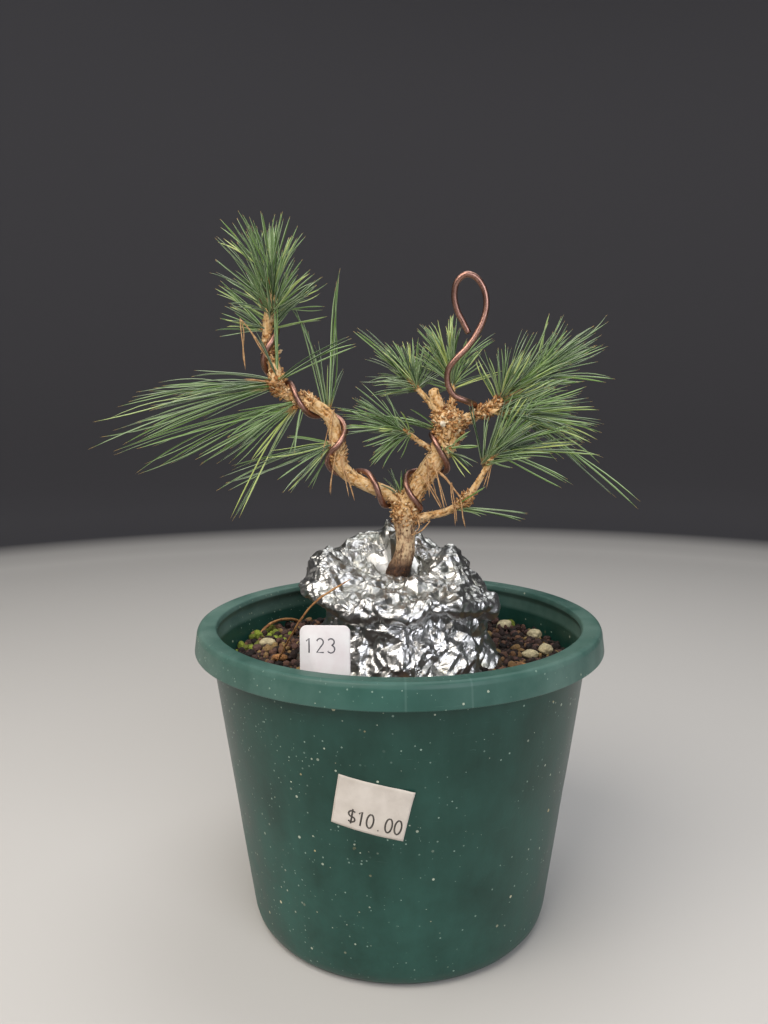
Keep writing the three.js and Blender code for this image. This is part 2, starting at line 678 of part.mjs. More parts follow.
function tuftSolid({ from, axis, reach, spread, count, tips = [] }, seed, limbCapsules, obstacles) {
  const outward = new THREE.Vector3(...axis).normalize();
  const shoot = shootLine(new THREE.Vector3(...scaled(from)), outward, limbCapsules, obstacles);
  const solids = [shootSolid(shoot)];
  const capsules = capsulesOf(shoot, () => shootRadius, 1);
  let draws = 0;
  const draw = () => {
    draws += 1;
    return THREE.MathUtils.seededRandom(seed * 7919 + draws * 104729);
  };
  const tryNeedle = (tip) => {
    const line = needleLine(shoot.getPointAt(0.4 + 0.55 * draw()), tip);
    const around = needleCapsules(line);
    if (!isClear(around, limbCapsules) || !isClear(around, obstacles)) return false;
    solids.push(needleSolid(line));
    capsules.push(...around);
    return true;
  };
  for (const tip of tips) {
    for (let shift = 0; shift < 12; shift += 1) {
      const depth = Math.ceil(shift / 2) * (shift % 2 ? 3 : -3);
      const [x, y, z] = scaled(tip);
      if (tryNeedle(new THREE.Vector3(x, y + depth, z))) break;
    }
  }
  const start = shoot.getPointAt(0.5);
  const basis = new THREE.Quaternion().setFromUnitVectors(new THREE.Vector3(0, 0, 1), outward);
  for (let grown = 0, tries = 0; grown < count && tries < 40 * count; tries += 1) {
    const tilt = spread * Math.sqrt(draw());
    const heading = new THREE.Vector3().setFromSphericalCoords(1, tilt, 2 * Math.PI * draw());
    heading.set(heading.x, heading.z, heading.y).applyQuaternion(basis);
    const length = reach * treeScale * (0.7 + 0.35 * draw());
    if (tryNeedle(start.clone().addScaledVector(heading, length))) grown += 1;
  }
  return { solid: join(solids), capsules };
}

// ---- Assembly ----

function addNode(frame, name, solid, look) {
  const mesh = new THREE.Mesh(geometryOf(solid), new THREE.MeshStandardMaterial(looks[look]));
  mesh.name = name;
  frame.add(mesh);
}

function addTree(frame) {
  const limbCapsules = Object.values(limbs).flatMap((limb) => {
    const line = limbLine(limb);
    return capsulesOf(line, limbRadius(limb), limbSteps(line));
  });
  const wire = wireLine(limbCapsules);
  const wireSteps = Math.ceil(wire.getLength() / wireStep);
  addNode(frame, "trunk_and_branches", join(Object.values(limbs).map(limbSolid)), "bark");
  addNode(frame, "training_wire", solidOf(rod(wire, () => wireRadius, wireSides, wireSteps)), "wire");
  const room = join(Object.values(limbs).map((limb) => limbRoom(limb)));
  const obstacles = [...capsulesOf(wire, () => wireRadius, wireSteps), ...foilCapsules()];
  Object.entries(tufts).forEach(([name, spec], seed) => {
    const { solid, capsules } = tuftSolid(spec, seed + 1, limbCapsules, obstacles);
    obstacles.push(...capsules);
    addNode(frame, name, cut(solid, [room]), "needle");
  });
}

// The foil's crest and collar as capsules in the tree's frame.
function foilCapsules() {
  const capsules = [];
  for (let sector = 0; sector < foilSectors; sector += 1) {
    const bearing = (sector / foilSectors) * 2 * Math.PI;
    const spots = foilRows(sector, 0).slice(3, 6).map(
      ({ x, y }) => new THREE.Vector3(x * Math.sin(bearing), -x * Math.cos(bearing), y - moundHeight),
    );
    for (let i = 1; i < spots.length; i += 1) {
      capsules.push({ core: new THREE.Line3(spots[i - 1], spots[i]), radius: 4 });
    }
  }
  return capsules;
}

function addGround(frame) {
  addNode(frame, "potting_mix", pottingMix(), "soil");
  addNode(frame, "root_mound", rootMound(), "moss");
  addNode(frame, "foil_wrap", foilSheet(0, foilThickness), "foil");
  addNode(frame, "plant_tag", plantTag(0), "tag");
  for (const [name, spec] of Object.entries(stones)) {
    addNode(frame, name, stone(spec, 0), name === "bark_chip" ? "straw" : "stone");
  }
  for (const [name, spec] of Object.entries(litter)) {
    addNode(frame, name, litterRod(spec, 0), "straw");
  }
}

const bonsai = new THREE.Group();
addNode(bonsai, "nursery_pot", nurseryPot(), "pot");
addNode(bonsai, "price_label", priceLabel(), "paper");

const ground = new THREE.Group();
ground.position.z = soilLevel;
addGround(ground);
bonsai.add(ground);

const tree = new THREE.Group();
tree.position.z = moundHeight;
addTree(tree);
ground.add(tree);

export default bonsai;
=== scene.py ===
"""A wired pine bonsai in a squat nursery pot: the finished surfaces and the studio round them.

Sizes are in millimetres until a mesh is made. The pot stands on z = 0 with its axis on Z and its front
towards -Y. Bearings are measured from the front towards +X.
"""

import json
import math

import bpy
import numpy as np
from mathutils import Matrix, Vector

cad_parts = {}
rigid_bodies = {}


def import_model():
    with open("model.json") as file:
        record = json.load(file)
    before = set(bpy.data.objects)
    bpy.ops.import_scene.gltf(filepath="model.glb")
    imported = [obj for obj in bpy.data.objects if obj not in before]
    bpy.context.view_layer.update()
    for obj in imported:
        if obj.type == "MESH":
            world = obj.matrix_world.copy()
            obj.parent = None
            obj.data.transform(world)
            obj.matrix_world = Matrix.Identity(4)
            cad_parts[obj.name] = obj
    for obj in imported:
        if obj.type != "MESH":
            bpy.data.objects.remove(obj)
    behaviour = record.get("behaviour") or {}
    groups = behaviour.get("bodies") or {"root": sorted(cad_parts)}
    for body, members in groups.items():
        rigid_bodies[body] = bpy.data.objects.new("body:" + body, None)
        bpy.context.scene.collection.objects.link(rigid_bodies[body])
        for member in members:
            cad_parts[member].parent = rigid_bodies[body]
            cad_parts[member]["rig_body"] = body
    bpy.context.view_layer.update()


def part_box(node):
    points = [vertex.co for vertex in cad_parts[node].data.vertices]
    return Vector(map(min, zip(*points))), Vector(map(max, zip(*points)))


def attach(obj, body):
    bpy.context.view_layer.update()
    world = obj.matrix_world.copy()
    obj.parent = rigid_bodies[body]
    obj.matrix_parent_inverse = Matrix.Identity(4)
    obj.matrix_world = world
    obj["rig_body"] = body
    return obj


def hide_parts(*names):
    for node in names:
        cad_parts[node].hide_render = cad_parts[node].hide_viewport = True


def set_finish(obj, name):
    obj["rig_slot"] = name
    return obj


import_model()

# ---- Sizes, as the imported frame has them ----
MM = 0.001
TAU = 2 * math.pi
POT_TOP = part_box("nursery_pot")[1].z / MM
SOIL = POT_TOP - 21
TREE = SOIL + 38
BASE_RADIUS = 74.9
WALL_TOP_RADIUS = 95.8
RIM_RADIUS = 100
BAND_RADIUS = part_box("nursery_pot")[1].x / MM
BAND_HEIGHT = 11.3
LIP_RADIUS = 91
POT_WALL = 2
DRAINAGE_HOLES = 8
DRAINAGE_RADIUS = 4.5
DRAINAGE_INSET = 18
SKIRT_RADIUS = 52
WIRE_RADIUS = 1.5
FRONT = np.array([0.0, -1.0, 0.0])
random = np.random.default_rng(54)


def wall_radius(height):
    """The pot's outer radius at a height: a straight cone."""
    return BASE_RADIUS + (WALL_TOP_RADIUS - BASE_RADIUS) * height / POT_TOP


SOIL_RADIUS = wall_radius(SOIL) - POT_WALL - 0.6
SOIL_DIP = 1.5


# ---- Number helpers ----


def unit(vectors):
    """Each vector divided by its length."""
    return vectors / np.maximum(np.linalg.norm(vectors, axis=-1, keepdims=True), 1e-9)


def smooth(low, high, values):
    """0 below low, 1 above high, and 3t^2 - 2t^3 between them."""
    t = np.clip((values - low) / (high - low), 0, 1)
    return t * t * (3 - 2 * t)


def chance(cells, seed):
    """A number from 0 to 1 for each whole-numbered cell, from a product of large primes folded on itself."""
    cells = cells.astype(np.int64)
    mixed = cells[..., 0] * 73856093 ^ cells[..., 1] * 19349663 ^ cells[..., 2] * 83492791 ^ seed * 2654435
    mixed = (mixed ^ (mixed >> 13)) * 1274126177 & 0x7FFFFFFF
    return ((mixed ^ (mixed >> 15)) & 0xFFFF) / 65535


def lumps(points, size, seed):
    """Smooth noise from -1 to 1: chances at the corners of cubes of that size, blended by 3t^2 - 2t^3."""
    cell = np.floor(points / size)
    part = points / size - cell
    part = part * part * (3 - 2 * part)
    total = 0
    for corner in np.ndindex(2, 2, 2):
        share = np.prod(np.where(np.array(corner) == 1, part, 1 - part), axis=-1)
        total = total + share * (2 * chance(cell + corner, seed) - 1)
    return total


def shaken(points, size, seed=0):
    """Smooth noise from -1 to 1 in each of three directions."""
    return np.stack([lumps(points, size, seed + k) for k in range(3)], axis=-1)


def facets(points, size, seed):
    """Creased noise from 0 to about 1: the distance to the nearest of the scattered spots, one to a cube.

    Each spot measures distance as the greatest of three skew directions, so a level is a tilted block and
    the surface is made of flat faces that meet in sharp creases.
    """
    cell = np.floor(points / size)
    nearest = np.full(points.shape[:-1], 9.0)
    for step in np.ndindex(3, 3, 3):
        home = cell + step - 1
        spot = home + np.stack([chance(home, seed + k) for k in range(3)], axis=-1)
        away = points / size - spot
        skew = np.stack([chance(home, seed + 3 + k) for k in range(3)], axis=-1) * 1.6 - 0.8
        turned = away + np.cross(skew, away)
        nearest = np.minimum(nearest, np.abs(turned).max(axis=-1))
    return nearest


def turned(radius, bearing, height):
    """Points at a radius, a bearing from the front and a height: (r sin b, -r cos b, h)."""
    return np.stack(np.broadcast_arrays(radius * np.sin(bearing), -radius * np.cos(bearing), height), axis=-1)


def eased(t, start, end, leave, arrive):
    """The cubic from start to end, for t from 0 to 1, whose slopes there are leave and arrive."""
    first = (2 * t**3 - 3 * t**2 + 1) * start + (t**3 - 2 * t**2 + t) * leave
    return first + (3 * t**2 - 2 * t**3) * end + (t**3 - t**2) * arrive


def smooth_line(points, step):
    """Points a step apart on the centripetal Catmull-Rom curve through the given points, and its length.

    Each stretch is a cubic with the end slopes that the square roots of the neighbouring distances give.
    """
    p = np.array(points, float)
    p = np.vstack([2 * p[0] - p[1], p, 2 * p[-1] - p[-2]])
    gaps = np.sqrt(np.linalg.norm(np.diff(p, axis=0), axis=1))[:, None]
    a, b, c = gaps[:-2], gaps[1:-1], gaps[2:]
    before, start, end, after = p[:-3], p[1:-2], p[2:-1], p[3:]
    leave = ((start - before) / a - (end - before) / (a + b) + (end - start) / b) * b
    arrive = ((end - start) / b - (after - start) / (b + c) + (after - end) / c) * b
    t = np.linspace(0, 1, 40, endpoint=False)[None, :, None]
    curve = eased(t, *(row[:, None] for row in (start, end, leave, arrive)))
    curve = np.vstack([curve.reshape(-1, 3), p[-2]])
    walked = np.concatenate([[0], np.cumsum(np.linalg.norm(np.diff(curve, axis=0), axis=1))])
    marks = np.linspace(0, walked[-1], max(int(math.ceil(walked[-1] / step)), 2) + 1)
    return np.stack([np.interp(marks, walked, curve[:, k]) for k in range(3)], axis=1), walked[-1]


def beside(line, guide=FRONT):
    """Two unit vectors square to a line at each point: the guide made square, and the tangent x that."""
    ahead = unit(np.gradient(line, axis=0))
    outward = unit(guide - ahead * (ahead * guide).sum(axis=-1, keepdims=True))
    return outward, np.cross(ahead, outward)


# ---- Mesh helpers ----


def grid_faces(rows, columns, first=0, wrap=True):
    """Quads of a rows x columns grid of vertices, whose columns close round when wrap is set."""
    row, column = np.meshgrid(np.arange(rows - 1), np.arange(columns - (not wrap)), indexing="ij")
    here = row * columns + column
    side = row * columns + (column + 1) % columns
    return np.stack([here, side, side + columns, here + columns], axis=-1).reshape(-1, 4) + first


def build(name, points, faces, slot, material, layers=None, uv=None, flat=False, replaces=()):
    """Makes a mesh object from points in millimetres and arrays of faces, and puts it on the body.

    layers gives numbers per vertex by name, and uv a pair of numbers per vertex.
    """
    mesh = bpy.data.meshes.new(name)
    faces = [block for block in (faces if isinstance(faces, list) else [faces]) if len(block)]
    corners = np.concatenate([block.ravel() for block in faces]).astype(np.int32)
    sizes = np.concatenate([np.full(len(block), block.shape[1]) for block in faces])
    starts = np.concatenate([[0], np.cumsum(sizes)[:-1]]).astype(np.int32)
    mesh.vertices.add(len(points))
    mesh.vertices.foreach_set("co", (np.asarray(points) * MM).astype(np.float32).ravel())
    mesh.loops.add(len(corners))
    mesh.loops.foreach_set("vertex_index", corners)
    mesh.polygons.add(len(starts))
    mesh.polygons.foreach_set("loop_start", starts)
    mesh.polygons.foreach_set("use_smooth", np.full(len(starts), not flat))
    for layer, values in (layers or {}).items():
        mesh.attributes.new(layer, "FLOAT", "POINT").data.foreach_set("value", values.astype(np.float32))
    if uv is not None:
        mesh.uv_layers.new(name="UVMap").uv.foreach_set("vector", uv[corners].astype(np.float32).ravel())
    mesh.update(calc_edges=True)
    mesh.materials.append(material)
    piece = bpy.data.objects.new(name, mesh)
    bpy.context.scene.collection.objects.link(piece)
    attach(piece, "root")
    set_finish(piece, slot)
    if replaces:
        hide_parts(*replaces)
    return piece


def finished(piece):
    """Turns a piece with modifiers into a plain mesh and returns its points and faces in millimetres."""
    evaluated = piece.evaluated_get(bpy.context.evaluated_depsgraph_get())
    mesh = bpy.data.meshes.new_from_object(evaluated)
    points = np.zeros(len(mesh.vertices) * 3)
    mesh.vertices.foreach_get("co", points)
    normals = np.zeros(len(mesh.vertices) * 3)
    mesh.vertices.foreach_get("normal", normals)
    return mesh, points.reshape(-1, 3) / MM, normals.reshape(-1, 3)


def tubes(lines, radii, outward, sideways, sides, squash=1.0):
    """Closed round rods along many lines at once, as points, faces and uv.

    lines is rods x steps x 3 and radii rods x steps. A ring's points are
    line + radius (cos a outward + squash sin a sideways), and both ends close in one point.
    """
    rods, steps = radii.shape
    turn = TAU * np.arange(sides) / sides
    ring = outward[..., None, :] * np.cos(turn)[:, None]
    ring = ring + sideways[..., None, :] * (squash * np.sin(turn))[:, None]
    rings = lines[:, :, None, :] + ring * radii[:, :, None, None]
    points = np.concatenate([lines[:, :1], rings.reshape(rods, -1, 3), lines[:, -1:]], axis=1)
    each = steps * sides + 2
    first = (np.arange(rods) * each)[:, None, None]
    walls = (grid_faces(steps, sides, 1)[None] + first).reshape(-1, 4)
    around = np.arange(sides)
    foot = np.stack([np.zeros(sides, int), 1 + (around + 1) % sides, 1 + around], axis=1)
    last = 1 + (steps - 1) * sides
    tip = np.stack([np.full(sides, each - 1), last + around, last + (around + 1) % sides], axis=1)
    caps = (np.concatenate([foot, tip])[None] + first).reshape(-1, 3)
    along = np.concatenate([[0], np.repeat(np.linspace(0, 1, steps), sides), [1]])
    across = np.concatenate([[0], np.tile(np.arange(sides) / sides, steps), [0]])
    uv = np.tile(np.stack([across, along], axis=1), (rods, 1))
    return points.reshape(-1, 3), [walls, caps], uv


def joined(parts):
    """Several (points, faces, uv) in one, with the faces' numbers moved on."""
    first = np.cumsum([0] + [len(points) for points, _, _ in parts])
    kinds = {}
    for (_, faces, _), start in zip(parts, first):
        for block in faces:
            kinds.setdefault(block.shape[1], []).append(block + start)
    points = np.concatenate([points for points, _, _ in parts])
    uv = np.concatenate([uv for _, _, uv in parts])
    return points, [np.concatenate(blocks) for blocks in kinds.values()], uv


def rod(line, radius, sides, guide=FRONT):
    """One closed rod along a line."""
    outward, sideways = beside(line, guide)
    radius = np.broadcast_to(radius, len(line))
    return tubes(line[None], radius[None], outward[None], sideways[None], sides)


def lathe(profile, columns, wobble=None):
    """A profile of [radius, height] turned about Z. Its ends are on the axis and close it."""
    bearing = TAU * np.arange(columns) / columns
    inner = profile[1:-1]
    points = turned(inner[:, :1], bearing, inner[:, 1:])
    if wobble is not None:
        points = wobble(points)
    rows = len(inner)
    ends = np.array([[0, 0, profile[0][1]], [0, 0, profile[-1][1]]])
    around = np.arange(columns)
    after = (around + 1) % columns
    bottom = np.stack([np.full(columns, rows * columns), after, around], axis=1)
    last = (rows - 1) * columns
    top = np.stack([np.full(columns, rows * columns + 1), last + around, last + after], axis=1)
    uv = np.stack(np.meshgrid(np.arange(rows) / rows, around / columns, indexing="ij")[::-1], axis=-1)
    uv = np.concatenate([uv.reshape(-1, 2), np.zeros((2, 2))])
    points = np.concatenate([points.reshape(-1, 3), ends])
    return points, [grid_faces(rows, columns), np.concatenate([bottom, top])], uv


def rounded(corners):
    """A profile whose corners [radius, height, fillet] are rounded by quadratic curves of five points."""
    corners = np.array(corners, float)
    profile = [corners[0, :2]]
    for before, here, after in zip(corners, corners[1:], corners[2:]):
        start = here[:2] + unit(before[:2] - here[:2]) * here[2]
        end = here[:2] + unit(after[:2] - here[:2]) * here[2]
        for t in np.linspace(0, 1, 5 if here[2] else 1):
            profile.append((1 - t) ** 2 * start + 2 * t * (1 - t) * here[:2] + t**2 * end)
    profile.append(corners[-1, :2])
    return np.array(profile)


def divided(profile, step):
    """A profile with points added so that no stretch is longer than a step."""
    rows = [profile[:1]]
    for start, end in zip(profile, profile[1:]):
        parts = max(int(math.ceil(np.linalg.norm(end - start) / step)), 1)
        rows.append(start + (end - start) * (np.arange(1, parts + 1) / parts)[:, None])
    return np.concatenate(rows)


def normals_of(grid):
    """Outward normals of a rows x columns grid of points whose columns close round, rows running upwards."""
    up = np.gradient(grid, axis=0)
    side = np.roll(grid, -1, axis=1) - np.roll(grid, 1, axis=1)
    return unit(np.cross(side, up))


# ---- Materials ----


def srgb(code):
    """A hex sRGB colour as linear RGBA."""
    parts = [int(code[i : i + 2], 16) / 255 for i in (1, 3, 5)]
    return (*[c / 12.92 if c <= 0.04045 else ((c + 0.055) / 1.055) ** 2.4 for c in parts], 1)


def live(value):
    """A node's first output that is on, or the value itself when it isn't a node."""
    return next(out for out in value.outputs if out.enabled) if isinstance(value, bpy.types.Node) else value


def add(tree, kind, inputs, **settings):
    """Adds a node, gives it its settings, and sets or links its inputs, given by name or in their order."""
    node = tree.nodes.new("ShaderNode" + kind)
    for name, value in settings.items():
        setattr(node, name, value)
    for socket, value in inputs.items() if isinstance(inputs, dict) else enumerate(inputs):
        if isinstance(live(value), bpy.types.NodeSocket):
            tree.links.new(live(value), node.inputs[socket])
        else:
            node.inputs[socket].default_value = value
    return node


def finish(name, roughness, metallic=0.0, ior=1.5):
    """A new material with its shader's own numbers set, its node tree, its shader and its coordinates."""
    material = bpy.data.materials.new(name)
    material.use_nodes = True
    tree = material.node_tree
    shader = tree.nodes["Principled BSDF"]
    shader.inputs["Roughness"].default_value = roughness
    shader.inputs["Metallic"].default_value = metallic
    if not metallic:
        shader.inputs["IOR"].default_value = ior
    return material, tree, shader, add(tree, "TexCoord", {})


def cover(material, colour, height=None, strength=0.0, depth=0.0):
    """Gives the shader its colour, and the height as a relief of that depth in metres."""
    tree = material.node_tree
    shader = tree.nodes["Principled BSDF"]
    tree.links.new(live(colour), shader.inputs["Base Color"])
    if height is not None:
        relief = add(tree, "Bump", {"Height": height, "Strength": strength, "Distance": depth})
        tree.links.new(live(relief), shader.inputs["Normal"])
    return material


# Splashes on the pot: the spacing in metres, the widest as a share of it, how rare they are, and the colour.
SPLASHES = (
    (0.0034, 0.2, 0.62, "#b9c2ae"), (0.0062, 0.13, 0.6, "#d6cfae"), (0.012, 0.07, 0.4, "#d1bf8e"),
    (0.0019, 0.26, 0.56, "#8ba295"),
)
# Two weld lines on the rim band, in degrees of bearing: the middle between them and half their distance.
WELD_MIDDLE, WELD_APART = 8.1, 7.5


def polypropylene():
    """Injection-moulded polypropylene, dyed dark green.

    It gives the eye a waxy half gloss with soft highlights, cloudy dust that thickens towards the foot, a
    paler film that is thicker towards the left, a paler rim band that is partly dust and partly painted
    reflection, painted sheen at the band's left and right ends, specks of grit and lime that gather in
    patches, and a few fine scuffs.
    """
    material, tree, shader, where = finish("moulded_polypropylene_green", 0.32)
    spot = where.outputs["Object"]
    x, y, z = add(tree, "SeparateXYZ", [spot]).outputs
    clouds = add(tree, "TexNoise", {"Vector": spot, "Scale": 1 / 0.034, "Detail": 6.0, "Roughness": 0.62})
    upright = add(tree, "Mapping", {"Vector": spot, "Scale": (1.0, 1.0, 0.3)})
    wiped = add(tree, "TexNoise", {"Vector": upright, "Scale": 1 / 0.012, "Detail": 5.0, "Roughness": 0.6})
    lower = add(tree, "MapRange", (z, 0.0, 0.11, 0.72, 0.24))
    # The film is thicker towards the left, so that side is paler.
    leftward = add(tree, "MapRange", (x, -0.09, 0.02, 1.3, 0.7))
    patchy = add(tree, "MapRange", (clouds, 0.3, 0.7, 0.12, 1.0))
    smudges = add(tree, "MapRange", (wiped, 0.2, 0.8, 0.0, 0.24))
    banded = add(tree, "MapRange", (z, (POT_TOP - 13) * MM, (POT_TOP - 11) * MM, 0.0, 0.3))
    dust_and_sheen = add(tree, "Math", (lower, leftward), operation="MULTIPLY")
    dust_and_sheen = add(tree, "Math", (dust_and_sheen, patchy), operation="MULTIPLY")
    # The rim band's film is partly dust and partly a painted reflection of the room on the band's upward
    # face.
    for more in (smudges, banded):
        dust_and_sheen = add(tree, "Math", (dust_and_sheen, more), operation="ADD", use_clamp=True)
    # Painted sheen: a pale grey-green on the rim band that grows towards its left and right ends, where the
    # band would reflect the lights at a glancing angle.
    sideways = add(tree, "Math", [x], operation="ABSOLUTE")
    band_end_sheen = add(tree, "MapRange", (sideways, 0.015, 0.095, 0.06, 0.62))
    for share in (banded, patchy, 3.0):
        band_end_sheen = add(tree, "Math", (band_end_sheen, share), operation="MULTIPLY", use_clamp=True)
    behind = add(tree, "Math", (y, -1.0), operation="MULTIPLY")
    weld = add(tree, "Math", (x, behind), operation="ARCTAN2")
    for degrees in (WELD_MIDDLE, WELD_APART):
        weld = add(tree, "Math", (weld, math.radians(degrees)), operation="SUBTRACT")
        weld = add(tree, "Math", [weld], operation="ABSOLUTE")
    weld = add(tree, "MapRange", (weld, math.radians(0.35), math.radians(0.1), 0.0, 0.4))
    weld = add(tree, "Math", (weld, banded), operation="MULTIPLY")
    colour = add(tree, "Mix", {0: clouds, 6: srgb("#05251d"), 7: srgb("#0a352a")}, data_type="RGBA")
    # Over the base colour go the dust film with the band's painted reflection, the painted sheen at the
    # band's ends, and the weld lines.
    for share, shade in ((dust_and_sheen, "#38665c"), (band_end_sheen, "#82988f"), (weld, "#7f9a92")):
        colour = add(tree, "Mix", {0: share, 6: colour, 7: srgb(shade)}, data_type="RGBA")
    crowds = add(tree, "TexNoise", {"Vector": spot, "Scale": 1 / 0.022, "Detail": 2.0})
    crowded = add(tree, "MapRange", (crowds, 0.35, 0.62, 0.3, -0.1))
    sparser = add(tree, "MapRange", (x, -0.09, 0.03, -0.28, 0.14))
    crowded = add(tree, "Math", (crowded, sparser), operation="ADD")
    for size, reach, rare, shade in SPLASHES:
        cells = add(tree, "TexVoronoi", {"Vector": spot, "Scale": 1 / size, "Randomness": 1.0})
        pick, load, spread = add(tree, "SeparateXYZ", [cells.outputs["Color"]]).outputs
        wide = add(tree, "Math", (spread, reach), operation="MULTIPLY")
        near = add(tree, "Math", (cells, wide), operation="LESS_THAN")
        least = add(tree, "Math", (crowded, rare), operation="ADD")
        some = add(tree, "Math", (pick, least), operation="GREATER_THAN")
        grit = add(tree, "Math", (near, some), operation="MULTIPLY")
        thick = add(tree, "Math", (grit, load), operation="MULTIPLY")
        colour = add(tree, "Mix", {0: thick, 6: colour, 7: srgb(shade)}, data_type="RGBA")
    fine = add(tree, "Mapping", {"Vector": spot, "Scale": (1.0, 1.0, 22.0)})
    scuffs = add(tree, "TexNoise", {"Vector": fine, "Scale": 1 / 0.016, "Detail": 4.0, "Roughness": 0.6})
    scuffed = add(tree, "MapRange", (scuffs, 0.69, 0.76, 0.0, 0.3))
    colour = add(tree, "Mix", {0: scuffed, 6: colour, 7: srgb("#6d8a80")}, data_type="RGBA")
    gloss = add(tree, "MapRange", (dust_and_sheen, 0.0, 0.8, 0.26, 0.5))
    tree.links.new(live(gloss), shader.inputs["Roughness"])
    shader.inputs["Specular IOR Level"].default_value = 0.32
    grain = add(tree, "TexNoise", {"Vector": spot, "Scale": 1 / 0.0016, "Detail": 3.0})
    worn = add(tree, "Math", (grain, clouds), operation="ADD")
    return cover(material, colour, worn, 0.08, 0.0004)


def mottled(name, tones, grain, roughness, relief, ior=1.5):
    """A matt material of two tones in clouds, with its grain and relief in millimetres."""
    material, tree, _, where = finish(name, roughness, ior=ior)
    spot = where.outputs["Object"]
    clouds = add(tree, "TexNoise", {"Vector": spot, "Scale": 1000 / grain, "Detail": 6.0, "Roughness": 0.65})
    share = add(tree, "MapRange", (clouds, 0.35, 0.65))
    colour = add(tree, "Mix", {0: share, 6: srgb(tones[0]), 7: srgb(tones[1])}, data_type="RGBA")
    return cover(material, colour, clouds, 0.6, relief * MM)


def graded(name, layer, stops, roughness, grain, relief):
    """A matt material whose colour follows a number on the mesh through a list of (place, colour) stops."""
    material, tree, _, where = finish(name, roughness)
    spot = where.outputs["Object"]
    number = add(tree, "Attribute", {}, attribute_name=layer).outputs["Fac"]
    clouds = add(tree, "TexNoise", {"Vector": spot, "Scale": 1000 / grain, "Detail": 5.0, "Roughness": 0.7})
    shifted = add(tree, "MapRange", (clouds, 0.0, 1.0, -0.1, 0.1))
    number = add(tree, "Math", (number, shifted), operation="ADD")
    colour = srgb(stops[0][1])
    for (start, _), (end, shade) in zip(stops, stops[1:]):
        step = add(tree, "MapRange", (number, start, end))
        colour = add(tree, "Mix", {0: step, 6: colour, 7: srgb(shade)}, data_type="RGBA")
    return cover(material, colour, clouds, 0.7, relief * MM)


def aluminium_foil():
    """Rolled kitchen aluminium, bright side out and crushed by hand.

    It gives the eye mirror-like facets split by sharp creases, slightly dulled by a fine secondary crinkle
    of about a millimetre, with a little yellow-green dirt washed into the folds.
    """
    material, tree, _, where = finish("rolled_aluminium_foil", 0.33, 1.0)
    spot = where.outputs["Object"]
    dirt = add(tree, "TexNoise", {"Vector": spot, "Scale": 1 / 0.012, "Detail": 5.0, "Roughness": 0.7})
    deep = add(tree, "Attribute", {}, attribute_name="deep").outputs["Fac"]
    share = add(tree, "MapRange", (dirt, 0.4, 0.7, 0.0, 0.8))
    share = add(tree, "Math", (share, deep), operation="MULTIPLY")
    colour = add(tree, "Mix", {0: share, 6: srgb("#c6c6c5"), 7: srgb("#6f6c45")}, data_type="RGBA")
    small = add(tree, "TexVoronoi", {"Vector": spot, "Scale": 1 / 0.0016}, distance="MANHATTAN")
    tiny = add(tree, "TexNoise", {"Vector": spot, "Scale": 1 / 0.0009, "Detail": 2.0})
    crinkle = add(tree, "Math", (small, tiny), operation="ADD")
    return cover(material, colour, crinkle, 0.07, 0.0003)


def anodised_wire():
    """Soft aluminium bonsai wire, anodised copper brown.

    It gives the eye a satin brown metal with a pinkish highlight and faint drawing lines along it.
    """
    material, tree, _, where = finish("anodised_aluminium_brown", 0.38, 1.0)
    lengthwise = add(tree, "Mapping", {"Vector": where.outputs["UV"], "Scale": (14.0, 60.0, 1.0)})
    drawn = add(tree, "TexNoise", {"Vector": lengthwise, "Scale": 1.0, "Detail": 5.0, "Roughness": 0.6})
    share = add(tree, "MapRange", (drawn, 0.35, 0.7))
    colour = add(tree, "Mix", {0: share, 6: srgb("#815c50"), 7: srgb("#b08c7f")}, data_type="RGBA")
    return cover(material, colour, drawn, 0.15, 0.0002)


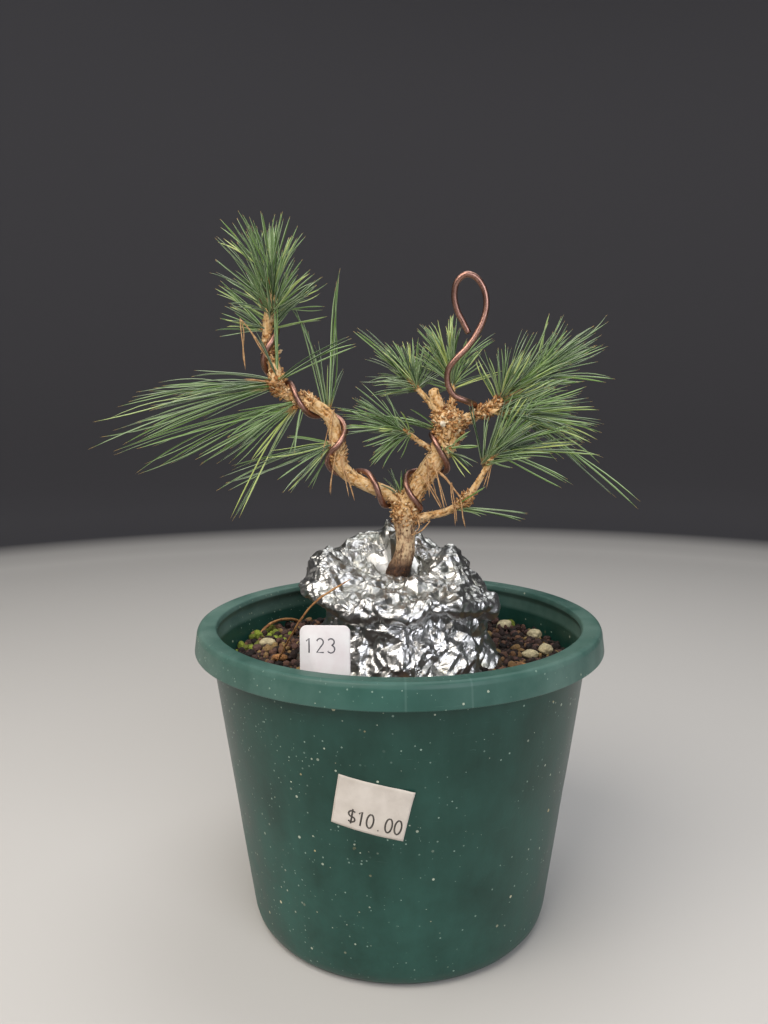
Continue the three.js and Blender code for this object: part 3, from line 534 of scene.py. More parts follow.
def pine_bark():
    """Young pine bark: grey-brown and furrowed at the foot, tan to orange and papery higher up.

    It gives the eye dark cracks along the limb between dry flakes with pale lifted edges.
    """
    material, tree, _, where = finish("flaking_pine_bark", 0.86)
    spot = where.outputs["Object"]
    age = add(tree, "Attribute", {}, attribute_name="age").outputs["Fac"]
    deep = add(tree, "Attribute", {}, attribute_name="deep").outputs["Fac"]
    clouds = add(tree, "TexNoise", {"Vector": spot, "Scale": 1 / 0.006, "Detail": 6.0, "Roughness": 0.7})
    specks = add(tree, "TexNoise", {"Vector": spot, "Scale": 1 / 0.0012, "Detail": 4.0, "Roughness": 0.7})
    share = add(tree, "MapRange", (clouds, 0.38, 0.64))
    # Three tones by age: young, grown, and a near-black brown for the very foot.
    young, grown, dark_foot = (
        add(tree, "Mix", {0: share, 6: srgb(dark), 7: srgb(pale)}, data_type="RGBA")
        for dark, pale in (("#bb8546", "#d9b47c"), ("#8d6e52", "#bd9d7a"), ("#231610", "#503727"))
    )
    middle = add(tree, "MapRange", (age, 0.0, 0.5))
    foot = add(tree, "MapRange", (age, 0.5, 0.9))
    colour = add(tree, "Mix", {0: middle, 6: young, 7: grown}, data_type="RGBA")
    # The lowest part of the trunk turns to the darkest tone.
    colour = add(tree, "Mix", {0: foot, 6: colour, 7: dark_foot}, data_type="RGBA")
    speckled = add(tree, "MapRange", (specks, 0.52, 0.72, 0.0, 0.6))
    along = add(tree, "Mapping", {"Vector": spot, "Scale": (1.0, 1.0, 0.22)})
    split = add(tree, "TexNoise", {"Vector": along, "Scale": 1 / 0.0012, "Detail": 4.0, "Roughness": 0.6})
    fissure = add(tree, "MapRange", (split, 0.5, 0.38))
    for share in (middle, 0.75):
        fissure = add(tree, "Math", (fissure, share), operation="MULTIPLY")
    crack = add(tree, "MapRange", (deep, 0.45, 0.0, 0.0, 0.9))
    raised_edge = add(tree, "MapRange", (deep, 0.6, 0.95, 0.0, 0.5))
    raised_edge = add(tree, "Math", (raised_edge, foot), operation="SUBTRACT", use_clamp=True)
    layers = ((speckled, "#8c5a30"), (fissure, "#4a3223"), (crack, "#3a2518"), (raised_edge, "#ead0a6"))
    for share, shade in layers:
        colour = add(tree, "Mix", {0: share, 6: colour, 7: srgb(shade)}, data_type="RGBA")
    return cover(material, colour, specks, 0.7, 0.0004)


def pine_needle():
    """Living pine needles with a waxy skin.

    It gives the eye deep green with two broad pale bluish bands of pores along the needle, which also stand
    in as a painted highlight on one side, a satin gloss, a brownish sheath at the foot and a dry yellow
    point.
    """
    material, tree, _, where = finish("waxy_pine_needle", 0.34, ior=1.45)
    across, along, _ = add(tree, "SeparateXYZ", [where.outputs["UV"]]).outputs
    tint = add(tree, "Attribute", {}, attribute_name="tint").outputs["Fac"]
    green = add(tree, "MapRange", (tint, 0.0, 0.65))
    lime = add(tree, "MapRange", (tint, 0.7, 1.0))
    # Two broad pale bands round each needle: partly its lines of pores, partly a painted highlight that makes
    # one side paler.
    lines = add(tree, "Math", (across, 2 * TAU), operation="MULTIPLY")
    lines = add(tree, "Math", [lines], operation="SINE")
    pores_and_highlight = add(tree, "MapRange", (lines, 0.1, 0.9, 0.0, 0.6))
    foot = add(tree, "MapRange", (along, 0.13, 0.05))
    tip = add(tree, "MapRange", (along, 0.955, 0.985))
    colour = srgb("#1d3a15")
    layers = ((green, "#678a3c"), (lime, "#b9c66a"), (pores_and_highlight, "#c3d3b2"), (foot, "#a58a58"), (tip, "#c3a566"))
    for share, shade in layers:
        colour = add(tree, "Mix", {0: share, 6: colour, 7: srgb(shade)}, data_type="RGBA")
    return cover(material, colour)


def paper_label():
    """Uncoated label paper pressed on by hand.

    It gives the eye a matt warm white with faint fibres, soft stains and a few grey flecks.
    """
    material, tree, _, where = finish("uncoated_label_paper", 0.82)
    spot = where.outputs["Object"]
    fibres = add(tree, "TexNoise", {"Vector": spot, "Scale": 1 / 0.0011, "Detail": 6.0, "Roughness": 0.7})
    stains = add(tree, "TexNoise", {"Vector": spot, "Scale": 1 / 0.009, "Detail": 3.0})
    share = add(tree, "MapRange", (stains, 0.35, 0.7))
    flecks = add(tree, "MapRange", (fibres, 0.6, 0.75, 0.0, 0.25))
    colour = add(tree, "Mix", {0: share, 6: srgb("#d8d0c6"), 7: srgb("#c6bdb2")}, data_type="RGBA")
    colour = add(tree, "Mix", {0: flecks, 6: colour, 7: srgb("#9a8f86")}, data_type="RGBA")
    return cover(material, colour, fibres, 0.25, 0.0002)


def tag_plastic():
    """Stamped white polystyrene sheet that has stood in wet soil.

    It gives the eye a smooth off-white with a faint pink smudge, brownish splashes low down and a soft gloss.
    """
    material, tree, _, where = finish("stamped_white_polystyrene", 0.42, ior=1.59)
    spot = where.outputs["Object"]
    height = add(tree, "SeparateXYZ", [spot]).outputs["Z"]
    clouds = add(tree, "TexNoise", {"Vector": spot, "Scale": 1 / 0.011, "Detail": 4.0})
    splash = add(tree, "TexNoise", {"Vector": spot, "Scale": 1 / 0.0025, "Detail": 4.0, "Roughness": 0.7})
    share = add(tree, "MapRange", (clouds, 0.35, 0.65))
    low = add(tree, "MapRange", (height, (SOIL + 14) * MM, SOIL * MM))
    marks = add(tree, "MapRange", (splash, 0.5, 0.62))
    dirty = add(tree, "Math", (low, marks), operation="MULTIPLY")
    colour = add(tree, "Mix", {0: share, 6: srgb("#e8e6e5"), 7: srgb("#ddd5d5")}, data_type="RGBA")
    colour = add(tree, "Mix", {0: dirty, 6: colour, 7: srgb("#6d5c4c")}, data_type="RGBA")
    return cover(material, colour, splash, 0.1, 0.0002)


POT = polypropylene()
PAPER = paper_label()
INK = mottled("stamped_black_ink", ("#3b3733", "#57524c"), 1.0, 0.7, 0.02)
TAG = tag_plastic()
PENCIL = mottled("soft_pencil_graphite", ("#4b4a50", "#77767a"), 0.8, 0.5, 0.02)
FOIL = aluminium_foil()
WIRE = anodised_wire()
BARK = pine_bark()
NEEDLE = pine_needle()
# Fired and crushed volcanic cinder, bark fines and moss: dry, matt and broken by pores under a millimetre.
MIX_STOPS = [
    (0.0, "#120b09"), (0.25, "#251713"), (0.42, "#43302a"), (0.56, "#553c36"), (0.66, "#6b4b33"),
    (0.8, "#8b7548"), (0.86, "#5c6420"), (1.0, "#8b9a35"),
]
GRAINS = graded("crushed_cinder_and_moss", "grain", MIX_STOPS, 0.92, 1.1, 0.3)
EARTH = mottled("fine_potting_mix", ("#17110e", "#38291f"), 1.5, 0.95, 0.8)
# Living cushion moss: short soft fronds, yellow-green where it has dried.
MOSS = graded("cushion_moss", "grain", [(0.0, "#3b431c"), (0.5, "#5f6c24"), (1.0, "#97a03f")], 0.9, 0.8, 0.4)
# Water-worn quartz gravel: pale, faintly banded and dusty.
STONE = mottled("washed_quartz_gravel", ("#8d8368", "#cdbf98"), 3.0, 0.75, 0.2)
# Dead bark, twigs and needles: dry, orange to grey-brown, with a dull straw sheen.
STRAW = mottled("dry_pine_litter", ("#7a4c28", "#b98a55"), 2.2, 0.7, 0.15)
# Needles that dried on the tree: pale, matt and a little ribbed.
DRY_NEEDLE = mottled("dried_pine_needle", ("#946a40", "#d0a97c"), 2.0, 0.75, 0.1)
# Pine resin that ran and dried: milky and half glossy.
RESIN = mottled("dried_pine_resin", ("#b9a789", "#e2d6c2"), 0.8, 0.45, 0.2, ior=1.54)
FLAKE = graded(
    "papery_bark_flakes", "tint", [(0.0, "#6e4527"), (0.3, "#a8703c"), (0.65, "#cf9f66"), (1.0, "#ead2ac")],
    0.8, 1.2, 0.15,
)


# ---- Pot, label and tag ----


def nursery_pot():
    """The pot: a profile turned a little out of true, with drainage holes cut through its floor."""
    band_foot = POT_TOP - BAND_HEIGHT
    under_lip = POT_TOP - POT_WALL
    corners = [
        (0, 1.2, 0), (BASE_RADIUS - 16, 1.2, 1), (BASE_RADIUS - 13, 0, 1), (BASE_RADIUS, 0, 7.5),
        (wall_radius(under_lip), under_lip, 0.6), (RIM_RADIUS - POT_WALL, under_lip, 0.8),
        (BAND_RADIUS - POT_WALL, band_foot, 0.4), (BAND_RADIUS, band_foot, 0.7),
        (RIM_RADIUS + 1.1, POT_TOP - 2.4, 0.5), (RIM_RADIUS + 0.3, POT_TOP - 0.7, 0.5),
        (RIM_RADIUS - 1, POT_TOP, 0.5),
        (LIP_RADIUS + 0.8, POT_TOP - 0.4, 0.8), (LIP_RADIUS, under_lip - 1, 0.6),
        (wall_radius(under_lip - 4) - POT_WALL, under_lip - 4, 1.2),
        (wall_radius(POT_WALL) - POT_WALL, POT_WALL, 3), (0, POT_WALL, 0),
    ]

    def out_of_true(points):
        bearing = np.arctan2(points[..., 0], -points[..., 1])
        high = points[..., 2] / POT_TOP
        swell = 0.35 * high * (np.sin(2 * bearing + 0.7) + 0.5 * np.sin(3 * bearing + 2.1))
        swell = swell + 0.16 * lumps(points, 22, 3)
        reach = np.linalg.norm(points[..., :2], axis=-1, keepdims=True)
        points = points.copy()
        points[..., :2] *= 1 + swell[..., None] / np.maximum(reach, 20)
        return points

    points, faces, uv = lathe(divided(rounded(corners), 5), 288, out_of_true)
    pot = build("pot_shell", points, faces, "pot", POT, uv=uv, replaces=["nursery_pot"])
    cutters = []
    for i in range(DRAINAGE_HOLES):
        bearing = (i + 0.5) / DRAINAGE_HOLES * TAU
        line = turned(BASE_RADIUS - DRAINAGE_INSET, bearing, np.linspace(-3, 6, 4))
        cutters.append(rod(line, DRAINAGE_RADIUS, 24))
    points, faces, _ = joined(cutters)
    cutter = build("hole_cutter", points, faces, "pot", POT)
    cut = pot.modifiers.new("holes", "BOOLEAN")
    cut.operation = "DIFFERENCE"
    cut.solver = "EXACT"
    cut.object = cutter
    mesh, _, _ = finished(pot)
    pot.modifiers.clear()
    pot.data = mesh
    bpy.data.objects.remove(cutter)


LABEL_SIZE = (32, 24)
LABEL_LEVEL = POT_TOP - 59
LABEL_BEARING = math.radians(-8.5)
LABEL_TILT = math.radians(-12)
LABEL_ROOM = 0.25
PAPER_THICK = 0.16


def on_label(flat, lift):
    """Places (x, y) on the label: turned by its tilt, wrapped round the wall's cone and lifted off it."""
    along = flat[:, 0] * math.cos(LABEL_TILT) - flat[:, 1] * math.sin(LABEL_TILT)
    height = LABEL_LEVEL + flat[:, 0] * math.sin(LABEL_TILT) + flat[:, 1] * math.cos(LABEL_TILT)
    bearing = LABEL_BEARING + along / wall_radius(LABEL_LEVEL)
    return turned(wall_radius(height) + LABEL_ROOM + lift, bearing, height)


def paper_lift(flat):
    """How far the paper's back stands off the wall: small waves, and a corner that has lifted a little."""
    corner = np.linalg.norm(flat - np.array(LABEL_SIZE) / 2, axis=1)
    return 0.9 * smooth(7, 0, corner) + 0.08 * lumps(np.c_[flat, flat[:, 0]], 5, 8)


def price_label():
    """The paper: a grid closed as a thin slab, with a corner that has lifted a little."""
    columns, rows = 33, 25
    x, y = np.meshgrid(
        np.linspace(-0.5, 0.5, columns) * LABEL_SIZE[0], np.linspace(-0.5, 0.5, rows) * LABEL_SIZE[1]
    )
    flat = np.stack([x.ravel(), y.ravel()], axis=1)
    lift = paper_lift(flat)
    faces = grid_faces(rows, columns, wrap=False)
    edge_loop = np.concatenate([
        np.arange(columns), np.arange(1, rows) * columns + columns - 1,
        (rows - 1) * columns + np.arange(columns - 2, -1, -1), np.arange(rows - 2, 0, -1) * columns,
    ])
    after = np.roll(edge_loop, -1)
    count = rows * columns
    side = np.stack([after, edge_loop, edge_loop + count, after + count], axis=1)
    points = np.concatenate([on_label(flat, lift + PAPER_THICK), on_label(flat, lift)])
    faces = np.concatenate([faces, faces[:, ::-1] + count, side])
    build("label_paper", points, faces, "paper", PAPER, replaces=["price_label"])


def arc(centre, radii, start, end, count=9):
    """Points on an ellipse from one angle to another, in degrees."""
    turn = np.radians(np.linspace(start, end, count))
    return np.stack([centre[0] + radii[0] * np.cos(turn), centre[1] + radii[1] * np.sin(turn)], axis=1)


# Strokes of each sign in a box 0.6 wide and 1 high.
SIGNS = {
    "$": [
        np.concatenate([arc((0.3, 0.68), (0.22, 0.2), 40, 270), arc((0.3, 0.3), (0.22, 0.18), 90, -140)]),
        np.array([[0.3, 1.0], [0.3, 0.0]]),
    ],
    "0": [arc((0.3, 0.5), (0.2, 0.47), 90, 450, 17)],
    "1": [np.array([[0.14, 0.8], [0.32, 0.98], [0.32, 0.02]])],
    "2": [np.concatenate([arc((0.3, 0.74), (0.22, 0.24), 165, -30), [[0.08, 0.04], [0.55, 0.04]]])],
    "3": [
        np.concatenate([
            arc((0.28, 0.75), (0.22, 0.22), 150, -70), arc((0.28, 0.27), (0.25, 0.26), 80, -150),
        ]),
    ],
    ".": [np.array([[0.27, 0.03], [0.33, 0.03]])],
}


def written(text, height, pitch, thick, start):
    """Text as flat ribbons: each stroke is widened by half a thickness to both sides."""
    parts = []
    for place, sign in enumerate(text):
        for stroke in SIGNS.get(sign, []):
            line = stroke * height + np.array([start[0] + place * pitch, start[1]])
            line = np.concatenate([line[:1], line[:1] + (line[1:2] - line[:1]) * 0.02, line[1:]])
            ahead = unit(np.gradient(line, axis=0))
            side = np.stack([-ahead[:, 1], ahead[:, 0]], axis=1) * thick / 2
            ring = np.stack([line - side, line + side], axis=1).reshape(-1, 2)
            parts.append((ring, [grid_faces(len(line), 2, wrap=False)], ring))
    return joined(parts)


def raised(points, faces, place, low, high):
    """A flat figure as a thin closed slab between two lifts of a placing function."""
    quads = faces[0]
    count = len(points)
    edges = np.concatenate([quads[:, [i, (i + 1) % 4]] for i in range(4)])
    keys = np.sort(edges, axis=1) @ [count, 1]
    _, first, copies = np.unique(keys, return_index=True, return_counts=True)
    rim = edges[first[copies == 1]]
    walls = np.stack([rim[:, 1], rim[:, 0], rim[:, 0] + count, rim[:, 1] + count], axis=1)
    solid = np.concatenate([place(points, high), place(points, low)])
    return solid, np.concatenate([quads, quads[:, ::-1] + count, walls])


def label_price():
    """The stamped figures: thin slabs that follow the paper's lift, 0.05 mm proud of it."""
    points, faces, _ = written("$10.00", 7.2, 4.0, 0.75, (-9.6, -9.6))

    def on_paper(flat, lift):
        return on_label(flat, paper_lift(flat) + lift)

    points, faces = raised(points, faces, on_paper, 0.14, 0.21)
    build("label_figures", points, faces, "paper", INK)


TAG_BEARING = math.radians(-26.5)
TAG_PLACE = turned(SOIL_RADIUS - 16.5, TAG_BEARING, SOIL)
TAG_TURN = Matrix.Rotation(math.radians(-3), 3, "Z") @ Matrix.Rotation(math.radians(85), 3, "X")


def on_tag(flat, lift):
    """Places (x, y) on the tag's face, turned and leaned as the tag stands, and lifted off its middle."""
    raw = np.column_stack([flat[:, 0], flat[:, 1], np.broadcast_to(lift, len(flat))])
    return raw @ np.array(TAG_TURN).T + TAG_PLACE


def plant_tag():
    """A strip of sheet with round top corners and a pointed foot, its long edges softened by a bevel."""
    outline = np.concatenate([
        [[0, -45], [11, -34]], arc((8, 31), (3, 3), 0, 90, 7),
        arc((-8, 31), (3, 3), 90, 180, 7), [[-11, -34]],
    ])
    count = len(outline)
    after = np.roll(np.arange(count), -1)
    points = np.concatenate([on_tag(outline, 0.4), on_tag(outline, -0.4)])
    front = np.arange(count)[None]
    walls = np.stack([after, np.arange(count), np.arange(count) + count, after + count], axis=1)
    faces = [front, front[:, ::-1] + count, walls]
    tag = build("tag_strip", points, faces, "tag", TAG, replaces=["plant_tag"])
    bevel = tag.modifiers.new("edges", "BEVEL")
    bevel.width = 0.2 * MM
    bevel.segments = 2
    bevel.limit_method = "ANGLE"
    bevel.angle_limit = math.radians(50)
    points, faces, _ = written("123", 6.5, 4.9, 0.6, (-9.0, 22.0))
    points, faces = raised(points, faces, on_tag, 0.38, 0.44)
    build("tag_figures", points, faces, "tag", PENCIL)


# ---- Soil, stones and litter ----


def potting_mix():
    """The fill: its foot and side follow the pot, and its top rises and falls in small lumps."""
    level = SOIL - SOIL_DIP
    corners = [
        (0, 3, 0), (wall_radius(3) - POT_WALL - 0.6, 3, 1),
        (SOIL_RADIUS, level, 0.5), (SOIL_RADIUS - 1, level, 0),
    ]
    top = [(radius, level) for radius in np.arange(SOIL_RADIUS - 2, 2, -1.6)]

    def lumpy(points):
        surface = points[..., 2] > SOIL - 2
        points = points.copy()
        points[..., 2] += surface * (1.2 * lumps(points, 9, 11) + 0.7 * lumps(points, 3.5, 12))
        return points

    profile = np.concatenate([divided(rounded(corners), 12), top, [(0, level)]])
    points, faces, uv = lathe(profile, 200, lumpy)
    build("soil_bed", points, faces, "soil", EARTH, replaces=["potting_mix"])


def ball(level):
    """A unit icosphere: the 12 corners of an icosahedron, each triangle split in four once per level."""
    gold = (1 + math.sqrt(5)) / 2
    points = unit(np.array([
        (-1, gold, 0), (1, gold, 0), (-1, -gold, 0), (1, -gold, 0), (0, -1, gold), (0, 1, gold),
        (0, -1, -gold), (0, 1, -gold), (gold, 0, -1), (gold, 0, 1), (-gold, 0, -1), (-gold, 0, 1),
    ]))
    faces = np.array([
        (0, 11, 5), (0, 5, 1), (0, 1, 7), (0, 7, 10), (0, 10, 11), (1, 5, 9), (5, 11, 4), (11, 10, 2),
        (10, 7, 6), (7, 1, 8), (3, 9, 4), (3, 4, 2), (3, 2, 6), (3, 6, 8), (3, 8, 9), (4, 9, 5), (2, 4, 11),
        (6, 2, 10), (8, 6, 7), (9, 8, 1),
    ])
    for _ in range(level):
        corner = points[faces]
        middles = unit(corner + np.roll(corner, -1, axis=1))
        first = len(points) + 3 * np.arange(len(faces))[:, None]
        a, b, c = faces.T
        ab, bc, ca = (first + np.arange(3)).T
        quarters = ((a, ab, ca), (b, bc, ab), (c, ca, bc), (ab, bc, ca))
        faces = np.concatenate([np.stack(quarter, axis=1) for quarter in quarters])
        points, index = np.unique(
            np.concatenate([points, middles.reshape(-1, 3)]).round(9), axis=0, return_inverse=True
        )
        faces = index.ravel()[faces]
    return points, faces


def turns(count):
    """Random turning matrices: three unit vectors square to each other."""
    first = unit(random.normal(size=(count, 3)))
    second = unit(np.cross(first, random.normal(size=(count, 3))))
    return np.stack([first, second, np.cross(first, second)], axis=-1)


def scattered(shape, places, sizes, roughness):
    """Copies of a unit shape at places, each stretched by its sizes, turned at random and made lumpy."""
    points, faces = shape
    uneven = 1 + roughness * random.uniform(-1, 1, size=(len(places), len(points), 1))
    grains = (points[None] * uneven * sizes[:, None]) @ turns(len(places)).transpose(0, 2, 1)
    first = (np.arange(len(places)) * len(points))[:, None, None]
    return (grains + places[:, None]).reshape(-1, 3), (faces[None] + first).reshape(-1, 3)


def soil_spots(count, low, high):
    """Random places on the ring of soil between two radii, even by area."""
    bearing = random.uniform(-math.pi, math.pi, count)
    radius = np.sqrt(random.uniform(low**2, high**2, count))
    return turned(radius, bearing, 0.0)


def grains():
    """Crushed cinder in two sizes: small fragments all over and larger ones on top."""
    green_patches = [
        ((66, 60), 13), ((-86, 22), 12), ((-72, 40), 14), ((40, 72), 10), ((-78, -20), 9), ((60, -30), 8),
    ]
    for name, count, level, sizes, rise in (
        ("soil_fragments", 5200, 0, (0.5, 1.25), 0.1), ("soil_cinders", 1500, 1, (1.15, 2.5), 0.5)
    ):
        spots = soil_spots(count, 40 if level else 45, SOIL_RADIUS - 1.6)
        size = sizes[0] + (sizes[1] - sizes[0]) * random.random(count) ** 1.8
        height = SOIL - SOIL_DIP + 1.2 * lumps(spots, 9, 11) + size * rise + random.random(count)
        stretch = size[:, None] * random.uniform(0.72, 1.25, (count, 3))
        places = np.c_[spots[:, :2], height]
        points, faces = scattered(ball(level), places, stretch, 0.13 if level else 0.2)
        number = random.random(count) ** 1.25 * 0.8
        for centre, reach in green_patches:
            near = np.linalg.norm(spots[:, :2] - centre, axis=1) < reach * random.uniform(0.5, 1.1, count)
            number = np.where(near & (random.random(count) < 0.6), random.uniform(0.84, 1.0, count), number)
        layer = np.repeat(number, len(points) // count)
        build(name, points, faces, "soil", GRAINS, layers={"grain": layer}, flat=True)


def ground_point(bearing, share, height):
    """A point over the soil, by its bearing in degrees and its share of the way to the wall."""
    radius = SKIRT_RADIUS + (SOIL_RADIUS - SKIRT_RADIUS) * share
    return turned(radius, math.radians(bearing), SOIL + height)


# Each stone's bearing in degrees, its share of the way to the wall, and half its sizes.
STONES = {
    "pebble_1": (87, 0.4, (4.5, 3, 2.5)), "pebble_2": (93, 0.65, (4, 4.5, 3)),
    "pebble_3": (113, 0.8, (4, 3.5, 3)), "pebble_4": (130, 0.75, (4.5, 4, 3)),
    "pebble_5": (-106, 0.55, (4, 3, 2.5)), "pebble_6": (-5, 0.6, (4, 3, 2.5)),
}


def stones():
    """Pebbles: a ball stretched to the stone's half sizes and dented by noise and a few flat breaks."""
    for seed, (name, (bearing, share, half)) in enumerate(STONES.items()):
        points, faces = ball(4)
        dents = 1 + 0.14 * lumps(points, 0.8, seed) - 0.2 * facets(points, 1.3, seed + 9)
        points = points * dents[:, None] * np.array(half) * 1.12
        points = points + ground_point(bearing, share, 1.5)
        build(f"{name}_stone", points, faces, "stone", STONE, replaces=[name])


def bark_chip():
    """A flake of old bark: a flattened ball split in layers by creased noise."""
    points, faces = ball(4)
    points = points * (1 - 0.3 * facets(points * [1, 1, 3], 0.5, 21))[:, None] * np.array([6.6, 3.9, 1.9])
    turn = np.array(Matrix.Rotation(1.2, 3, "Z") @ Matrix.Rotation(0.25, 3, "Y"))
    build(
        "bark_chip_flake", points @ turn.T + ground_point(-84, 0.22, 1.7), faces, "straw", STRAW,
        replaces=["bark_chip"],
    )


# The spots of each twig: bearing in degrees, share of the way to the wall, and height over the soil.
LITTER = {
    "fallen_twig_left": [(-115, 0.93, -1), (-124, 0.9, 4.5), (-134, 0.92, 3.5), (-141, 0.93, -1)],
    "fallen_twig_right": [(76, 0.2, 0.5), (70, 0.45, 1.5), (66, 0.7, 0.5)],
}
# The dry needle runs from the soil over the foil's lobe, given from the pot's axis and the soil.
LEANING_NEEDLE = [
    (-62, -8, -2), (-51.2, -32, 20.4), (-40.2, -41, 37.4), (-31.9, -41, 43.5), (-22.4, -36, 48.4),
]


def litter():
    """Dry twigs and needles: rods whose radius swells at old leaf scars and tapers to the ends."""
    routes = {name: [ground_point(*spot) for spot in spots] for name, spots in LITTER.items()}
    routes["leaning_needle"] = np.array(LEANING_NEEDLE) + [0, 0, SOIL]
    for name, route in routes.items():
        line, _ = smooth_line(route, 0.7)
        share = np.linspace(0, 1, len(line))
        line = line + 0.25 * shaken(line, 4)
        thick = 0.8 if "twig" in name else 0.48
        radius = thick * (1 + 0.16 * lumps(line, 1.7, 5)) * np.minimum(1, 8 * (1 - share) + 0.25)
        points, faces, uv = rod(line, radius, 9, guide=np.array([0.1, 0.2, 1.0]))
        build(f"{name}_stalk", points, faces, "straw", STRAW, replaces=[name])


# ---- Foil and mound ----


PLEATS = 17
# The foil by bearing in degrees: crest radius and height, collar radius and height, waist radius.
FOIL_SHAPE = np.array([
    (-180, 18, 64, 40, 34, 34), (-163, 19, 68.5, 40, 34, 34), (-158, 22, 63, 42, 35, 34),
    (-138, 29, 60.5, 44, 36, 34), (-122, 33, 56, 46, 37, 35), (-113, 30, 49, 45, 36, 35),
    (-104, 36, 54, 48, 38, 36), (-84, 38, 56, 49.5, 38, 37), (-66, 35, 53, 49, 38, 37),
    (-52, 30, 47, 48, 36.5, 37), (-44, 21, 41.5, 46, 34, 38), (-30, 15, 44, 46.5, 31, 38),
    (-12, 13, 42, 44.5, 33, 39), (4, 12.5, 42, 46.5, 30, 38), (20, 13, 42.5, 44, 34, 38),
    (38, 15, 43, 46, 33, 39), (58, 19, 44, 49, 31, 41), (72, 23, 47, 53, 28, 42), (84, 26, 51, 49, 28, 42),
    (98, 27, 55, 44, 33, 40), (116, 27, 55.5, 42, 35, 38), (128, 22, 53, 41, 35, 36),
    (142, 20, 60, 40, 34, 35), (160, 18, 62.5, 40, 34, 34), (180, 18, 64, 40, 34, 34),
])


def foil_outline(bearing):
    """The foil's profile at each bearing as [radius, height over the soil] corners, outside first.

    From the foot in the soil up the skirt to the waist, out under the collar's lip, over the collar, up to
    the crest, down to the trunk's foot, and back inside to the foot.
    """
    degrees = np.degrees((bearing + math.pi) % TAU - math.pi)
    crest_radius, crest, collar_radius, collar, waist = (
        np.interp(degrees, FOIL_SHAPE[:, 0], FOIL_SHAPE[:, k]) for k in range(1, 6)
    )
    right = 2 * np.clip(np.sin(bearing), 0, 1)
    rows = [
        (52 + right, -6), (45 + right, 9), (waist + 1, 21), (waist - 0.5, collar - 4.5),
        (collar_radius - 2, collar - 2.6), (collar_radius, collar + 0.6), (collar_radius - 2.5, collar + 4.5),
        ((crest_radius + collar_radius) / 2, 0.35 * (collar + 3) + 0.65 * crest), (crest_radius, crest),
        (0.6 * crest_radius + 4, crest - 3.5 - 0.35 * (crest - 42)), (10, 39.5), (9, 35.5),
        (crest_radius * 0.8, crest - 8), (0.75 * waist, 28), (33, 20), (43, 6), (50, -6),
    ]
    return np.stack([np.stack(np.broadcast_arrays(bearing, *row)[1:], axis=-1) for row in rows])


def foil_wrap():
    """Crumpled foil: the outline turned round, with large lumps, and flat creased facets in three sizes.

    The facets are long and slanted on the skirt and fine on the upper part. The skirt is drawn into pleats.
    """
    columns = 420
    bearing = TAU * np.arange(columns) / columns
    corners = foil_outline(bearing)
    steps = [22, 20, 12, 14, 6, 8, 26, 30, 24, 26] + [4] * 6
    before = np.concatenate([corners[:1], corners[:-1]])
    after = np.concatenate([corners[1:], corners[-1:]])
    slope = (after - before) / 2
    rows = []
    for i, count in enumerate(steps):
        t = (np.arange(count) / count)[:, None, None]
        rows.append(eased(t, corners[i], corners[i + 1], slope[i], slope[i + 1]))
    flat = np.concatenate(rows)
    radius, height = flat[..., 0], flat[..., 1]
    grid = turned(radius, bearing, height)
    outward = normals_of(grid)
    outside = np.arange(len(flat)) < sum(steps[:10])
    shown = outside[:, None] * smooth(-7, 0, height)
    bent = grid + 2.6 * shaken(grid, 9, 30)
    upper = smooth(25, 36, height)
    big = 1.8 * lumps(grid, 15, 34) + 1.4 * lumps(grid, 7, 35)
    slanted = bent @ np.array([[1.0, 0, 0.35], [0, 1.0, -0.2], [-0.35, 0.2, 0.62]])
    skirt, crushed = (
        sum(rise * (facets(place, size, seed) - 0.45) for rise, place, size, seed in creases)
        for creases in (
            ((6.0, slanted, 15, 36), (3.4, slanted, 8, 37), (1.2, bent, 4.4, 42)),
            ((4.4, bent, 12, 38), (2.6, bent, 6.5, 39), (1.05, bent, 3.6, 40)),
        )
    )
    pleat = np.abs(((bearing * PLEATS / TAU + 0.6 * lumps(grid, 14, 41)) % 1) - 0.5) * 4 - 1
    pleats = (0.5 + 0.9 * smooth(0, 0.8, np.sin(bearing))) * pleat * np.exp(-(((height - 18) / 10) ** 2))
    rise = big * (0.35 + 0.65 * upper) + skirt * (1 - upper) + crushed * upper + pleats
    grid = grid + outward * (rise * shown)[..., None]
    deep = np.clip(0.75 - rise / 5, 0, 1) * np.maximum(smooth(14, 2, height), smooth(34, 42, height))
    faces = grid_faces(len(flat), columns)
    last = (len(flat) - 1) * columns
    around = np.arange(columns)
    after = (around + 1) % columns
    close = np.stack([last + around, last + after, after, around], axis=1)
    points = grid.reshape(-1, 3) + [0, 0, SOIL]
    build(
        "foil_sheet", points, np.concatenate([faces, close]), "foil", FOIL, layers={"deep": deep.ravel()},
        flat=True, replaces=["foil_wrap"],
    )


